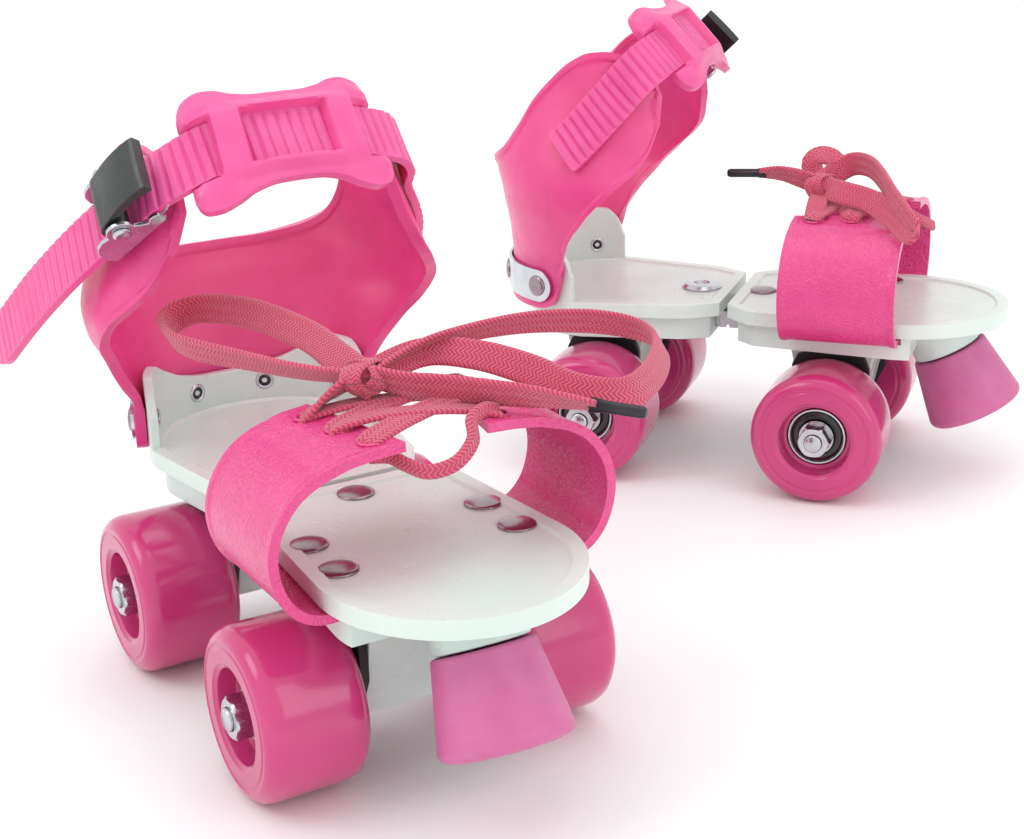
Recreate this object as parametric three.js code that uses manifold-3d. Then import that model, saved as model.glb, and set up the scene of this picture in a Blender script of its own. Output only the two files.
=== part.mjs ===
// A pair of children's strap-on quad roller skates whose length can be set.
// Millimetres, +Z up. Each skate is drawn as the right one in its own frame: X towards the toe,
// Y towards the inner side of the foot, Z up, with the origin on the floor under the front axle.
// The left skate is the same skate mirrored.
import * as THREE from 'three';
import { mergeVertices } from 'three/addons/utils/BufferGeometryUtils.js';
import Module from 'manifold-3d';

const wasm = await Module();
wasm.setup();

// ---------------------------------------------------------------- driving dimensions
const fitGap = 0.3; // between pieces that touch
const wheelbase = 92; // at the length shown
const wheelRadius = 25;
const wheelWidth = 30.6;
const outerTrack = 109.2; // over the outer faces of a pair of wheels
const bearing = { radius: 11, width: 7, bore: 3.8, recess: 6.5 };
const axleRadius = 3.5;
const nut = { acrossFlats: 11, height: 7.5, proud: 1.2 };

const soleTop = 68;
const rimThickness = 5.5;
const soleSkin = 6; // solid depth above the hollow underside
const skirtBottom = 53;
const skirtInset = 4;
const skirtWall = 2.5;
const soleGap = 3.5; // between the two soles at the length shown
const dish = { inset: 5, depth: 0.8 };

const frontSole = { rear: -40.5, rearHalf: 25, shoulder: -31, shoulderHalf: 33, nose: 23.5, noseLength: 40, half: 37 };
const rearSole = { frontHalf: 24, shoulder: -56, shoulderHalf: 31.5, heel: -97, heelLength: 35, half: 38 };
const skirtFront = 31;

const heelCup = { wall: 3, front: -100, earTop: 90, backTop: 78, clearance: 0.8 };
const axleBox = { topLength: 38, bottomLength: 19, bottom: 20, halfWidth: 20, wall: 2.5 };
const carrier = { radius: 7.5, shoulder: 34, cheekTop: 50, cheekLength: 30, cheekThickness: 2.9, wheelGap: 0.8 };
const slideBar = { width: 26, height: 6.6, thickness: 2, rear: -103, front: -14, tooth: 5, toothDepth: 1.6 };
const slideTravel = 35; // how far the rear sole can be drawn back
const clampBolt = { x: -57, shank: 3.5, head: 7.2, headHeight: 1.8, flats: 13, nutHeight: 6, end: 50.5 };

const cuffThickness = 2.6;
const heelBand = { turn: 74, thickness: 1.2, half: 6.5, z: 74 };

const strapThickness = 2.6;
const toeStrap = { front: 27, rear: -16, seat: 60.5, inner: 21, holeRadius: 2.4, holeInset: 5.5, holes: [-8, 6, 20] };

const ladder = { width: 17, thickness: 2.4 };
const pad = { under: 2.2, over: 3.2, clearance: 0.4, halfEnd: 18, halfWaist: 14, lip: 0.2 };
const buckle = { at: 24, edge: 43.75, slope: 0.5, lean: 0.12, rear: -7, front: 16, slack: 0.5, sheet: 1.2, pin: [6, 5], pinRadius: 1.6, boss: 4.4 };
const lever = { hub: 2.9, gap: 0.8, bore: 2 };

const toeStop = { x: 42, z: 49, tilt: 27, topRadius: 14.3, bottomRadius: 18.6, height: 27, gap: 0.6 };
const lace = { bow: 3, lacing: 2, knot: 7.5, clear: 0.6 };

// The skates as they stand: the left one points along +X, and the right one is set beside it, toes turned out.
const leftPlace = { x: 0, y: 0, turn: 0 };
const rightPlace = { x: -74.3, y: -265.8, turn: -39.84 };

// ---------------------------------------------------------------- materials
const finishes = {
  sole: { color: 0xf2f3f0, roughness: 0.4, metalness: 0 },
  wheel: { color: 0xd9508f, roughness: 0.25, metalness: 0 },
  strap: { color: 0xee5a9c, roughness: 0.45, metalness: 0 },
  stop: { color: 0xd884b4, roughness: 0.6, metalness: 0 },
  lace: { color: 0xe4667f, roughness: 0.9, metalness: 0 },
  steel: { color: 0xc9cbce, roughness: 0.25, metalness: 1 },
  black: { color: 0x17181a, roughness: 0.4, metalness: 0 },
};

// ---------------------------------------------------------------- geometry helpers
const radians = THREE.MathUtils.degToRad;

// A closed geometry as a solid that can be cut and joined.
function solid(geometry) {
  const plain = geometry.index ? geometry.toNonIndexed() : geometry.clone();
  plain.deleteAttribute('normal');
  plain.deleteAttribute('uv');
  const merged = mergeVertices(plain, 1e-4);
  const mesh = new wasm.Mesh({
    numProp: 3,
    vertProperties: new Float32Array(merged.attributes.position.array),
    triVerts: new Uint32Array(merged.index.array),
  });
  return new wasm.Manifold(mesh);
}

function geometryOf(body) {
  const mesh = body.getMesh();
  const geometry = new THREE.BufferGeometry();
  geometry.setAttribute('position', new THREE.BufferAttribute(new Float32Array(mesh.vertProperties), 3));
  geometry.setIndex(new THREE.BufferAttribute(new Uint32Array(mesh.triVerts), 1));
  return geometry;
}

function box(xFrom, xTo, yFrom, yTo, zFrom, zTo) {
  const geometry = new THREE.BoxGeometry(xTo - xFrom, yTo - yFrom, zTo - zFrom);
  return solid(geometry.translate((xFrom + xTo) / 2, (yFrom + yTo) / 2, (zFrom + zTo) / 2));
}

// An outline in plan, raised from one height to another.
function upright(shape, zFrom, zTo, curveSegments = 8) {
  const geometry = new THREE.ExtrudeGeometry(shape, { depth: zTo - zFrom, bevelEnabled: false, curveSegments });
  return solid(geometry.translate(0, 0, zFrom));
}

// A side profile (X, Z) carried across from one Y to another.
function crosswise(shape, yFrom, yTo, curveSegments = 6) {
  const geometry = new THREE.ExtrudeGeometry(shape, { depth: yTo - yFrom, bevelEnabled: false, curveSegments });
  return solid(geometry.rotateX(Math.PI / 2).translate(0, yTo, 0));
}

function polygon(points) {
  return new THREE.Shape(points.map(([x, y]) => new THREE.Vector2(x, y)));
}

// A rod lying along Y.
function rod(radius, yFrom, yTo, x, z, sides = 12) {
  const geometry = new THREE.CylinderGeometry(radius, radius, yTo - yFrom, sides);
  return solid(geometry.translate(x, (yFrom + yTo) / 2, z));
}

// A ring or disc turned about the Y axis, from a closed profile of [radius, y] points.
function turned(profile, segments) {
  const points = [...profile, profile[0]].map(([r, y]) => new THREE.Vector2(r, y));
  return new THREE.LatheGeometry(points, segments);
}

function lerpTable(table, x) {
  const last = table.length - 1;
  if (x <= table[0][0]) return table[0][1];
  for (let i = 1; i <= last; i += 1) {
    const [x0, y0] = table[i - 1];
    const [x1, y1] = table[i];
    if (x <= x1) return y0 + ((y1 - y0) * (x - x0)) / (x1 - x0);
  }
  return table[last][1];
}

// A sheet with an even thickness: grid[i][j] are points of its middle surface, and below and above
// say how far the two faces lie to either side of it.
function thickSheet(grid, below, above) {
  const columns = grid.length;
  const rows = grid[0].length;
  const at = (i, j) => grid[THREE.MathUtils.clamp(i, 0, columns - 1)][THREE.MathUtils.clamp(j, 0, rows - 1)];
  const positions = [];
  for (const offset of [-below, above]) {
    for (let i = 0; i < columns; i += 1) {
      for (let j = 0; j < rows; j += 1) {
        const along = at(i + 1, j).clone().sub(at(i - 1, j));
        const across = at(i, j + 1).clone().sub(at(i, j - 1));
        const normal = along.cross(across).normalize();
        const point = at(i, j).clone().addScaledVector(normal, offset);
        positions.push(point.x, point.y, point.z);
      }
    }
  }
  const id = (face, i, j) => face * columns * rows + i * rows + j;
  const faces = [];
  const quad = (a, b, c, d) => faces.push(a, b, c, a, c, d);
  for (let i = 0; i + 1 < columns; i += 1) {
    for (let j = 0; j + 1 < rows; j += 1) {
      quad(id(1, i, j), id(1, i + 1, j), id(1, i + 1, j + 1), id(1, i, j + 1));
      quad(id(0, i, j), id(0, i, j + 1), id(0, i + 1, j + 1), id(0, i + 1, j));
    }
    quad(id(0, i, 0), id(0, i + 1, 0), id(1, i + 1, 0), id(1, i, 0));
    quad(id(1, i, rows - 1), id(1, i + 1, rows - 1), id(0, i + 1, rows - 1), id(0, i, rows - 1));
  }
  for (let j = 0; j + 1 < rows; j += 1) {
    quad(id(1, 0, j), id(1, 0, j + 1), id(0, 0, j + 1), id(0, 0, j));
    const end = columns - 1;
    quad(id(0, end, j), id(0, end, j + 1), id(1, end, j + 1), id(1, end, j));
  }
  const geometry = new THREE.BufferGeometry();
  geometry.setAttribute('position', new THREE.BufferAttribute(new Float32Array(positions), 3));
  geometry.setIndex(faces);
  return geometry;
}

// A round cord along points, with a step about every three diameters.
function cordRun(points, radius) {
  const curve = new THREE.CatmullRomCurve3(points.map((p) => new THREE.Vector3(...p)));
  const steps = Math.max(1, Math.round(curve.getLength() / (6 * radius)));
  const ring = new THREE.Shape();
  const sides = 8;
  for (let k = 0; k < sides; k += 1) {
    const angle = (2 * Math.PI * k) / sides;
    const corner = [radius * Math.cos(angle), radius * Math.sin(angle)];
    if (k === 0) ring.moveTo(...corner);
    else ring.lineTo(...corner);
  }
  ring.closePath();
  return solid(new THREE.ExtrudeGeometry(ring, { steps, extrudePath: curve, bevelEnabled: false }));
}

function union(bodies) {
  return bodies.reduce((all, body) => all.add(body));
}

// ---------------------------------------------------------------- soles
const soleUnder = soleTop - rimThickness;
const hollowTop = soleTop - soleSkin;
const rearSoleFront = frontSole.rear - soleGap;
const cornerShare = 0.4; // how much of an inset a chamfered corner moves sideways

// Outline of the front sole, drawn in by an inset all round.
function frontOutline(inset = 0) {
  const s = frontSole;
  const outline = new THREE.Shape();
  outline.moveTo(s.rear + inset, -(s.rearHalf - cornerShare * inset));
  outline.lineTo(s.shoulder + cornerShare * inset, -(s.shoulderHalf - inset));
  outline.lineTo(s.nose, -(s.half - inset));
  outline.absellipse(s.nose, 0, s.noseLength - inset, s.half - inset, -Math.PI / 2, Math.PI / 2, false);
  outline.lineTo(s.shoulder + cornerShare * inset, s.shoulderHalf - inset);
  outline.lineTo(s.rear + inset, s.rearHalf - cornerShare * inset);
  outline.closePath();
  return outline;
}

function rearOutline(inset = 0) {
  const s = rearSole;
  const outline = new THREE.Shape();
  outline.moveTo(rearSoleFront - inset, -(s.frontHalf - cornerShare * inset));
  outline.lineTo(rearSoleFront - inset, s.frontHalf - cornerShare * inset);
  outline.lineTo(s.shoulder - cornerShare * inset, s.shoulderHalf - inset);
  outline.lineTo(s.heel, s.half - inset);
  outline.absellipse(s.heel, 0, s.heelLength - inset, s.half - inset, Math.PI / 2, (3 * Math.PI) / 2, false);
  outline.lineTo(s.shoulder - cornerShare * inset, -(s.shoulderHalf - inset));
  outline.closePath();
  return outline;
}

// The slide bar's tunnel through skirts and axle boxes.
const tunnel = {
  half: slideBar.width / 2 + fitGap,
  bottom: hollowTop - slideBar.height - 2 * fitGap,
};

// A hood over the axle, open below, with a notch on each side for the carrier.
function axleBoxAt(x) {
  const profile = (inset, top) => {
    const slope = (axleBox.topLength - axleBox.bottomLength) / 2 / (skirtBottom - axleBox.bottom);
    const reach = (z) => axleBox.bottomLength / 2 - inset + slope * (Math.min(z, skirtBottom) - axleBox.bottom);
    const low = inset ? axleBox.bottom - 1 : axleBox.bottom;
    return polygon([[x - reach(low), low], [x + reach(low), low], [x + reach(top), top], [x - reach(top), top]]);
  };
  const ceiling = carrier.shoulder + 2;
  const notchHalf = carrier.radius + fitGap;
  const notchTop = carrier.shoulder + fitGap;
  const inner = axleBox.halfWidth - axleBox.wall;
  return crosswise(profile(0, skirtBottom + fitGap), -axleBox.halfWidth, axleBox.halfWidth)
    .add(box(x - axleBox.topLength / 2, x + axleBox.topLength / 2, -axleBox.halfWidth, axleBox.halfWidth,
      skirtBottom - fitGap, soleUnder + 1))
    .subtract(crosswise(profile(axleBox.wall, ceiling), -inner, inner))
    .subtract(box(x - notchHalf, x + notchHalf, -axleBox.halfWidth - 1, axleBox.halfWidth + 1,
      axleBox.bottom - 1, notchTop));
}

// One sole: a rimmed plate over a hollow skirt, with the slide tunnel cut through.
function soleBody(outline, xFrom, xTo, axleX) {
  const slab = upright(outline(0), soleUnder, soleTop);
  const zone = box(xFrom, xTo, -60, 60, skirtBottom - 5, soleTop);
  const skirt = upright(outline(skirtInset), skirtBottom, soleUnder + 1).intersect(zone);
  const hollowZone = box(xFrom + skirtWall, xTo - skirtWall, -60, 60, skirtBottom - 5, soleTop);
  const hollow = upright(outline(skirtInset + skirtWall), skirtBottom - 1, hollowTop).intersect(hollowZone);
  const dished = upright(outline(dish.inset), soleTop - dish.depth, soleTop + 1);
  return slab
    .add(skirt)
    .subtract(dished)
    .subtract(hollow)
    .add(axleBoxAt(axleX))
    .subtract(box(-200, slideBar.front + 8, -tunnel.half, tunnel.half, tunnel.bottom, hollowTop));
}

const stopTilt = radians(toeStop.tilt);
const stopDown = new THREE.Vector3(Math.sin(stopTilt), 0, -Math.cos(stopTilt));

// Places a geometry drawn along +Y so that its axis runs down the toe stop from the stop's top.
function alongStop(geometry, from) {
  const turn = new THREE.Quaternion().setFromUnitVectors(new THREE.Vector3(0, 1, 0), stopDown);
  const at = new THREE.Vector3(toeStop.x, 0, toeStop.z).addScaledVector(stopDown, from);
  return geometry.applyQuaternion(turn).translate(at.x, at.y, at.z);
}

function frontPlate() {
  const strapSlot = {
    from: toeStrap.rear - 0.8,
    to: toeStrap.front + 0.8,
    low: toeStrap.seat - strapThickness / 2 - fitGap,
  };
  const boss = solid(alongStop(new THREE.CylinderGeometry(toeStop.topRadius - 1, toeStop.topRadius - 1, 30, 20), -15))
    .intersect(box(0, 80, -30, 30, toeStop.z - 20, soleUnder + 1))
    .subtract(solid(alongStop(new THREE.CylinderGeometry(40, 40, 40, 8), 20 - toeStop.gap)));
  return soleBody(frontOutline, frontSole.rear + skirtInset, skirtFront, 0)
    .subtract(box(strapSlot.from, strapSlot.to, axleBox.halfWidth, 60, strapSlot.low, soleUnder))
    .subtract(box(strapSlot.from, strapSlot.to, -60, -axleBox.halfWidth, strapSlot.low, soleUnder))
    .subtract(box(strapSlot.from, strapSlot.to, axleBox.halfWidth, 32, strapSlot.low, hollowTop + fitGap))
    .subtract(box(strapSlot.from, strapSlot.to, -32, -axleBox.halfWidth, strapSlot.low, hollowTop + fitGap))
    .add(boss);
}

function rearPlate() {
  const wall = upright(rearOutline(0), soleUnder, heelCup.earTop + 1)
    .subtract(upright(rearOutline(heelCup.wall), soleUnder - 1, heelCup.earTop + 2));
  const back = rearSole.heel - rearSole.heelLength - 1;
  const side = new THREE.Shape();
  side.moveTo(back, soleUnder);
  side.lineTo(heelCup.front, soleUnder);
  side.lineTo(heelCup.front, heelCup.backTop);
  side.quadraticCurveTo(heelCup.front - 2, heelCup.earTop - 2, heelCup.front - 13, heelCup.earTop);
  side.quadraticCurveTo(heelCup.front - 22, heelCup.earTop - 1, back + 5, heelCup.backTop);
  side.lineTo(back, heelCup.backTop);
  side.closePath();
  const boltHole = new THREE.CylinderGeometry(clampBolt.shank + fitGap, clampBolt.shank + fitGap, 40, 12);
  return soleBody(rearOutline, rearSole.heel - rearSole.heelLength, rearSoleFront - skirtInset, -wheelbase)
    .add(wall.intersect(crosswise(side, -60, 60)))
    .subtract(solid(boltHole.rotateX(Math.PI / 2).translate(clampBolt.x, 0, soleTop)));
}

// ---------------------------------------------------------------- running gear
// A steel channel, open below, with a rack of teeth along its lower edges and a slot for the clamp bolt.
function slideBarBody() {
  const top = hollowTop - 2 * fitGap;
  const bottom = top - slideBar.height;
  const half = slideBar.width / 2;
  const slotHalf = clampBolt.shank + fitGap + 0.2;
  let bar = box(slideBar.rear, slideBar.front, -half, half, bottom, top)
    .subtract(box(slideBar.rear - 1, slideBar.front + 1, -half + slideBar.thickness, half - slideBar.thickness,
      bottom - 1, top - slideBar.thickness))
    .subtract(box(clampBolt.x - slideTravel - slotHalf, clampBolt.x + 3 + slotHalf, -slotHalf, slotHalf, 0, soleTop));
  for (let x = slideBar.rear + slideBar.tooth; x < frontSole.rear; x += slideBar.tooth) {
    const tooth = polygon([[x - 1.4, bottom - 1], [x + 1.4, bottom - 1], [x, bottom + slideBar.toothDepth]]);
    bar = bar.subtract(crosswise(tooth, -half - 1, half + 1));
  }
  return bar;
}

// The bolt that clamps the rear sole to the slide bar, with its nut run up underneath.
function clampBoltBody() {
  const seat = soleTop - dish.depth + fitGap;
  const barTop = hollowTop - 2 * fitGap;
  const nutTop = barTop - slideBar.thickness - fitGap;
  const head = new THREE.CylinderGeometry(clampBolt.head - 1.2, clampBolt.head, clampBolt.headHeight, 20);
  const shank = new THREE.CylinderGeometry(clampBolt.shank, clampBolt.shank, seat - clampBolt.end + 1, 12);
  const nutRadius = clampBolt.flats / Math.sqrt(3);
  const nutBody = new THREE.CylinderGeometry(nutRadius, nutRadius, clampBolt.nutHeight, 6);
  const stand = (geometry, z) => solid(geometry.rotateX(Math.PI / 2).translate(clampBolt.x, 0, z));
  return stand(head, seat + clampBolt.headHeight / 2)
    .add(stand(shank, (seat + 1 + clampBolt.end) / 2))
    .add(stand(nutBody, nutTop - clampBolt.nutHeight / 2));
}

// The black carrier that holds an axle: a bar through the axle box with a cheek beside each wheel.
function carrierBody(x) {
  const half = outerTrack / 2 - wheelWidth - carrier.wheelGap;
  const arch = (radius, top) => {
    const shape = new THREE.Shape();
    shape.absarc(x, wheelRadius, radius, Math.PI, 0, false);
    shape.lineTo(x + radius, top);
    shape.lineTo(x - radius, top);
    shape.closePath();
    return shape;
  };
  const cheek = new THREE.Shape();
  const reach = carrier.cheekLength / 2;
  const low = wheelRadius - carrier.radius;
  cheek.moveTo(x - carrier.radius, low);
  cheek.lineTo(x + carrier.radius, low);
  cheek.lineTo(x + reach, wheelRadius + 8);
  cheek.absarc(x + reach - 6, carrier.cheekTop - 6, 6, 0, Math.PI / 2, false);
  cheek.absarc(x - reach + 6, carrier.cheekTop - 6, 6, Math.PI / 2, Math.PI, false);
  cheek.lineTo(x - reach, wheelRadius + 8);
  cheek.closePath();
  return crosswise(arch(carrier.radius, carrier.shoulder), -half, half)
    .add(crosswise(cheek, half - carrier.cheekThickness, half, 4))
    .add(crosswise(cheek, -half, -half + carrier.cheekThickness, 4))
    .subtract(rod(axleRadius + fitGap, -half - 1, half + 1, x, wheelRadius));
}

const axleEnd = outerTrack / 2 + nut.proud + 1.2;

function axleGeometry(x) {
  return new THREE.CylinderGeometry(axleRadius, axleRadius, 2 * axleEnd, 12).translate(x, 0, wheelRadius);
}

// A wheel drawn about the Y axis with its outer face towards +Y.
function wheelGeometry() {
  const half = wheelWidth / 2;
  const seat = bearing.radius + fitGap;
  const lip = seat + 2.3;
  const tyre = wheelRadius;
  const outerSeat = half - bearing.recess;
  return turned([
    [seat, -half], [tyre - 5, -half], [tyre - 1.5, -half + 1.6], [tyre, -half + 5.5],
    [tyre, half - 5.5], [tyre - 1.5, half - 1.6], [tyre - 5, half], [lip, half], [lip - 0.9, outerSeat], [seat, outerSeat],
  ], 24);
}

// The two ball bearings of a wheel and the sleeve between them, turned together.
function bearingsGeometry() {
  const outer = wheelWidth / 2 - bearing.recess;
  const inner = -wheelWidth / 2 + 2;
  const sleeve = bearing.bore + 2;
  return turned([
    [bearing.bore, inner], [bearing.radius, inner], [bearing.radius, inner + bearing.width],
    [sleeve, inner + bearing.width], [sleeve, outer - bearing.width], [bearing.radius, outer - bearing.width],
    [bearing.radius, outer], [bearing.bore, outer],
  ], 14);
}

function nutGeometry() {
  const corner = nut.acrossFlats / Math.sqrt(3);
  const body = solid(new THREE.CylinderGeometry(corner, corner, nut.height, 6));
  return geometryOf(body.subtract(rod(axleRadius + fitGap, -20, 20, 0, 0)));
}

// The middle of a wheel, measured out from the skate's centre line.
const wheelMiddle = outerTrack / 2 - wheelWidth / 2;
const nutMiddle = outerTrack / 2 + nut.proud - nut.height / 2;

// ---------------------------------------------------------------- ankle cuff
// Half width of the cuff's middle surface at each height, and how far its back stands behind the heel centre.
const footHalf = rearSole.half + heelCup.clearance + cuffThickness / 2;
const footBack = rearSole.heelLength + heelCup.clearance + cuffThickness / 2;
const cuffFlare = 82; // below this height the cuff stands straight
const cuffHalf = [
  [cuffFlare, footHalf], [90, 44], [100, 49], [108, 53], [115, 54], [122, 52.5],
  [130, 49.5], [138, 46.2], [146, 43.3], [155, 40.5], [168, 38],
];
const cuffBack = [[heelCup.earTop, footBack], [110, 39], [124, 42], [168, 42]];
const wing = { front: 31.5, bendFrom: 7, bend: 0.016 }; // the wings lean in towards their front edge

// Stations round the cuff from the middle of its back to a wing's front edge:
// [turn in degrees round the heel, reach forward of it, lower edge, upper edge].
const cuffStations = [
  [0, 0, 66.5, 121.5], [16, 0, 66, 121.8], [32, 0, 65, 124], [46, 0, 64.5, 128.5], [58, 0, 64.5, 137],
  [68, 0, 65.2, 147.5], [74, 0, 67, 152.5], [78, 0, 73, 155.5], [82, 0, 86, 158.5], [90, 0, 96.5, 163],
  [90, 6, 104, 165.5], [90, 12, 110.5, 166], [90, 18, 116, 164.7], [90, 24, 121.5, 161.7],
  [90, 28.5, 127.5, 156], [90, wing.front, 139, 149],
];

function cuffPoint(turn, reach, side, z) {
  const around = radians(turn);
  const lean = wing.bend * Math.max(0, reach - wing.bendFrom) ** 2;
  const x = rearSole.heel + reach - lerpTable(cuffBack, z) * Math.cos(around);
  const y = lerpTable(cuffHalf, z) * Math.sin(around) - lean;
  return new THREE.Vector3(x, side * y, z);
}

function cuffGeometry() {
  const rows = 7;
  const column = ([turn, reach, low, high], side) => {
    const start = Math.max(cuffFlare, low + (high - low) / rows);
    const upper = Array.from({ length: rows }, (_, j) => start + ((high - start) * j) / (rows - 1));
    return [low, ...upper].map((z) => cuffPoint(turn, reach, side, z));
  };
  const outerSide = cuffStations.slice(1).reverse().map((station) => column(station, -1));
  const innerSide = cuffStations.map((station) => column(station, 1));
  return thickSheet([...outerSide, ...innerSide], cuffThickness / 2, cuffThickness / 2);
}

// The steel band round the foot of the cuff.
function heelBandGeometry() {
  const stand = cuffThickness / 2 + fitGap + heelBand.thickness / 2;
  const steps = 20;
  const grid = Array.from({ length: steps + 1 }, (_, i) => {
    const angle = radians(heelBand.turn * ((2 * i) / steps - 1));
    const x = rearSole.heel - (footBack + stand) * Math.cos(angle);
    const y = (footHalf + stand) * Math.sin(angle);
    return [-1, 1].map((side) => new THREE.Vector3(x, y, heelBand.z + side * heelBand.half));
  });
  return thickSheet(grid, heelBand.thickness / 2, heelBand.thickness / 2);
}

// ---------------------------------------------------------------- ladder strap, pad and buckle
// They lie in a plane that slopes up and forward round the ankle: u runs up the slope, w across it.
const ankle = { x: rearSole.heel, z: 131, slope: 42 };
const uAxis = new THREE.Vector3(Math.cos(radians(ankle.slope)), 0, Math.sin(radians(ankle.slope)));
const wAxis = new THREE.Vector3(Math.sin(radians(ankle.slope)), 0, -Math.cos(radians(ankle.slope)));
// A wider strap stands further off the curved cuff, and takes its buckle further out with it.
const strapLift = 0.02 + 0.04 * ladder.width;
const buckleSide = buckle.edge + ladder.width / 4;

// The cuff's outer face beside the ankle.
function cuffSide(x, z) {
  const lean = wing.bend * Math.max(0, x - rearSole.heel - wing.bendFrom) ** 2;
  return lerpTable(cuffHalf, z) - lean + cuffThickness / 2;
}

// Stations of the strap's middle line, from its anchor on the inner wing to its tail. Those without a y
// rest on the cuff; lean is how far the strap tips outward for each millimetre of w, and rise is how far
// the middle line stands above the plane.
const buckled = [-16, -8, 0, 6.5, 13].map((step) => {
  const y = buckleSide + buckle.slope * step;
  return { u: buckle.at - step, y: -y, lean: -buckle.lean, rise: 0 };
});
const front = [[40.5, 36.2], [44.4, 28], [47.2, 19], [49, 10], [49.6, 0], [49, -10], [47.2, -19]];
const strapLine = [
  { u: -2, rise: 0 }, { u: 8, rise: 0.6 }, { u: 18, rise: 1.8 }, { u: 27, rise: 3.2 },
  { u: 34.5, y: 41.2, lean: 0, rise: 4.1 },
  ...front.map(([u, y]) => ({ u, y, lean: 0, rise: 4.6 })),
  { u: 44.6, y: -28, lean: 0, rise: 3.4 },
  ...buckled,
  { u: 0, y: -59.3, lean: -0.12, rise: 0 }, { u: -16, y: -65, lean: -0.1, rise: 0 },
  { u: -34, y: -70, lean: -0.1, rise: 0 }, { u: -50, y: -73.5, lean: -0.1, rise: 0 },
];

function strapPoint({ u, y, lean, rise }, w) {
  const point = new THREE.Vector3(ankle.x, y, ankle.z).addScaledVector(uAxis, u).addScaledVector(wAxis, w - rise);
  point.y = y === undefined ? cuffSide(point.x, point.z) + strapLift + ladder.thickness / 2 : y + lean * w;
  return point;
}

function ladderGrid(half, from = 0, to = strapLine.length) {
  return strapLine.slice(from, to).map((station) => [strapPoint(station, half), strapPoint(station, -half)]);
}

function ladderStrapGeometry() {
  const grid = ladderGrid(ladder.width / 2);
  const tip = grid.length - 1;
  grid[tip] = [0.35, -0.35].map((share) => strapPoint(strapLine[tip], share * ladder.width));
  return thickSheet(grid, ladder.thickness / 2, ladder.thickness / 2);
}

// The pad: a moulded saddle over the strap, wide at its ends, with a tunnel for the strap and a window over it.
function anklePadBody() {
  const first = 6;
  const last = 13;
  const middle = (first + last - 1) / 2;
  const body = strapLine.slice(first, last).map((station, k) => {
    const share = Math.abs(first + k - middle) / (middle - first);
    const half = pad.halfWaist + (pad.halfEnd - pad.halfWaist) * share ** 2 * (1.6 - 0.6 * share);
    return [1, 0.5, -0.5, -1].map((w) => strapPoint(station, w * half));
  });
  const reach = ladder.thickness / 2 + pad.clearance;
  const sleeve = ladderGrid(ladder.width / 2 + pad.clearance, first - 1, last + 1);
  const windowHalf = ladder.width / 2 - pad.lip;
  const opening = strapLine.slice(8, 11).map((station) => [1, -1].map((w) => strapPoint(station, w * windowHalf)));
  return solid(thickSheet(body, reach + pad.under, reach + pad.over))
    .subtract(solid(thickSheet(sleeve, reach, reach)))
    .subtract(solid(thickSheet(opening, 0, reach + pad.over + 4)));
}

// The buckle's own axes: t along the strap, w across it, n out from the ankle.
function buckleMatrix() {
  const origin = new THREE.Vector3(ankle.x, -buckleSide, ankle.z).addScaledVector(uAxis, buckle.at);
  const t = uAxis.clone().add(new THREE.Vector3(0, buckle.slope, 0)).normalize();
  const w = wAxis.clone().add(new THREE.Vector3(0, -buckle.lean, 0));
  const n = new THREE.Vector3().crossVectors(w, t).normalize();
  return new THREE.Matrix4().makeBasis(t, n, new THREE.Vector3().crossVectors(t, n)).setPosition(origin);
}

// Profiles are drawn in (t, n) and carried across w.
function acrossStrap(shape, from, to, curveSegments = 5) {
  const geometry = new THREE.ExtrudeGeometry(shape, { depth: to - from, bevelEnabled: false, curveSegments });
  return solid(geometry.translate(0, 0, from));
}

const buckleHalf = ladder.width / 2 + buckle.slack + buckle.sheet;

function buckleFrameBody() {
  const half = buckleHalf;
  const { rear, front } = buckle;
  const floor = -ladder.thickness / 2 - 0.5;
  const cheek = new THREE.Shape();
  cheek.moveTo(rear, floor - buckle.sheet);
  cheek.lineTo(front, floor - buckle.sheet);
  cheek.lineTo(front, 0.6);
  cheek.absarc(...buckle.pin, buckle.boss, -0.4, Math.PI + 0.3, false);
  cheek.lineTo(rear, 1.2);
  cheek.closePath();
  const base = polygon([[rear, floor - buckle.sheet], [front, floor - buckle.sheet], [front, floor], [rear, floor]]);
  return acrossStrap(base, -half, half)
    .add(acrossStrap(cheek, -half, -half + buckle.sheet))
    .add(acrossStrap(cheek, half - buckle.sheet, half))
    .add(aboutPin(buckle.pinRadius, 2 * half));
}

function aboutPin(radius, width) {
  const geometry = new THREE.CylinderGeometry(radius, radius, width, 12).rotateX(Math.PI / 2);
  return solid(geometry.translate(...buckle.pin, 0));
}

// A short plate that curls over the pin and stands clear of the strap at its free end.
function buckleLeverBody() {
  const plate = new THREE.Shape();
  plate.moveTo(0.6, 5);
  plate.quadraticCurveTo(1, 9.2, 6, 10);
  plate.quadraticCurveTo(16, 12.4, 24.8, 11);
  plate.lineTo(24.2, 7.6);
  plate.quadraticCurveTo(16, 9.2, 8.4, 7.4);
  plate.lineTo(3.6, 5);
  plate.closePath();
  const half = buckleHalf - buckle.sheet - lever.gap;
  return acrossStrap(plate, -half, half)
    .add(aboutPin(lever.hub, 2 * half))
    .subtract(aboutPin(lever.bore, 60));
}

// ---------------------------------------------------------------- toe straps
// Section of a toe strap from its seat under the sole to its laced edge: [distance from the centre line, z].
const toeStrapLine = [
  [toeStrap.inner, toeStrap.seat], [30, toeStrap.seat], [38, toeStrap.seat + 0.2], [43.5, toeStrap.seat + 2.6],
  [47.6, 68], [49.9, 75], [49.9, 82], [47.2, 89], [42.3, 94.8], [35.5, 98.7], [28, 101], [20, 102],
];
const flapEnd = { rear: 20, front: 12, z: 102.4 };

function flapEdge(x) {
  const share = (x - toeStrap.rear) / (toeStrap.front - toeStrap.rear);
  return flapEnd.rear + (flapEnd.front - flapEnd.rear) * share;
}

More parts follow.
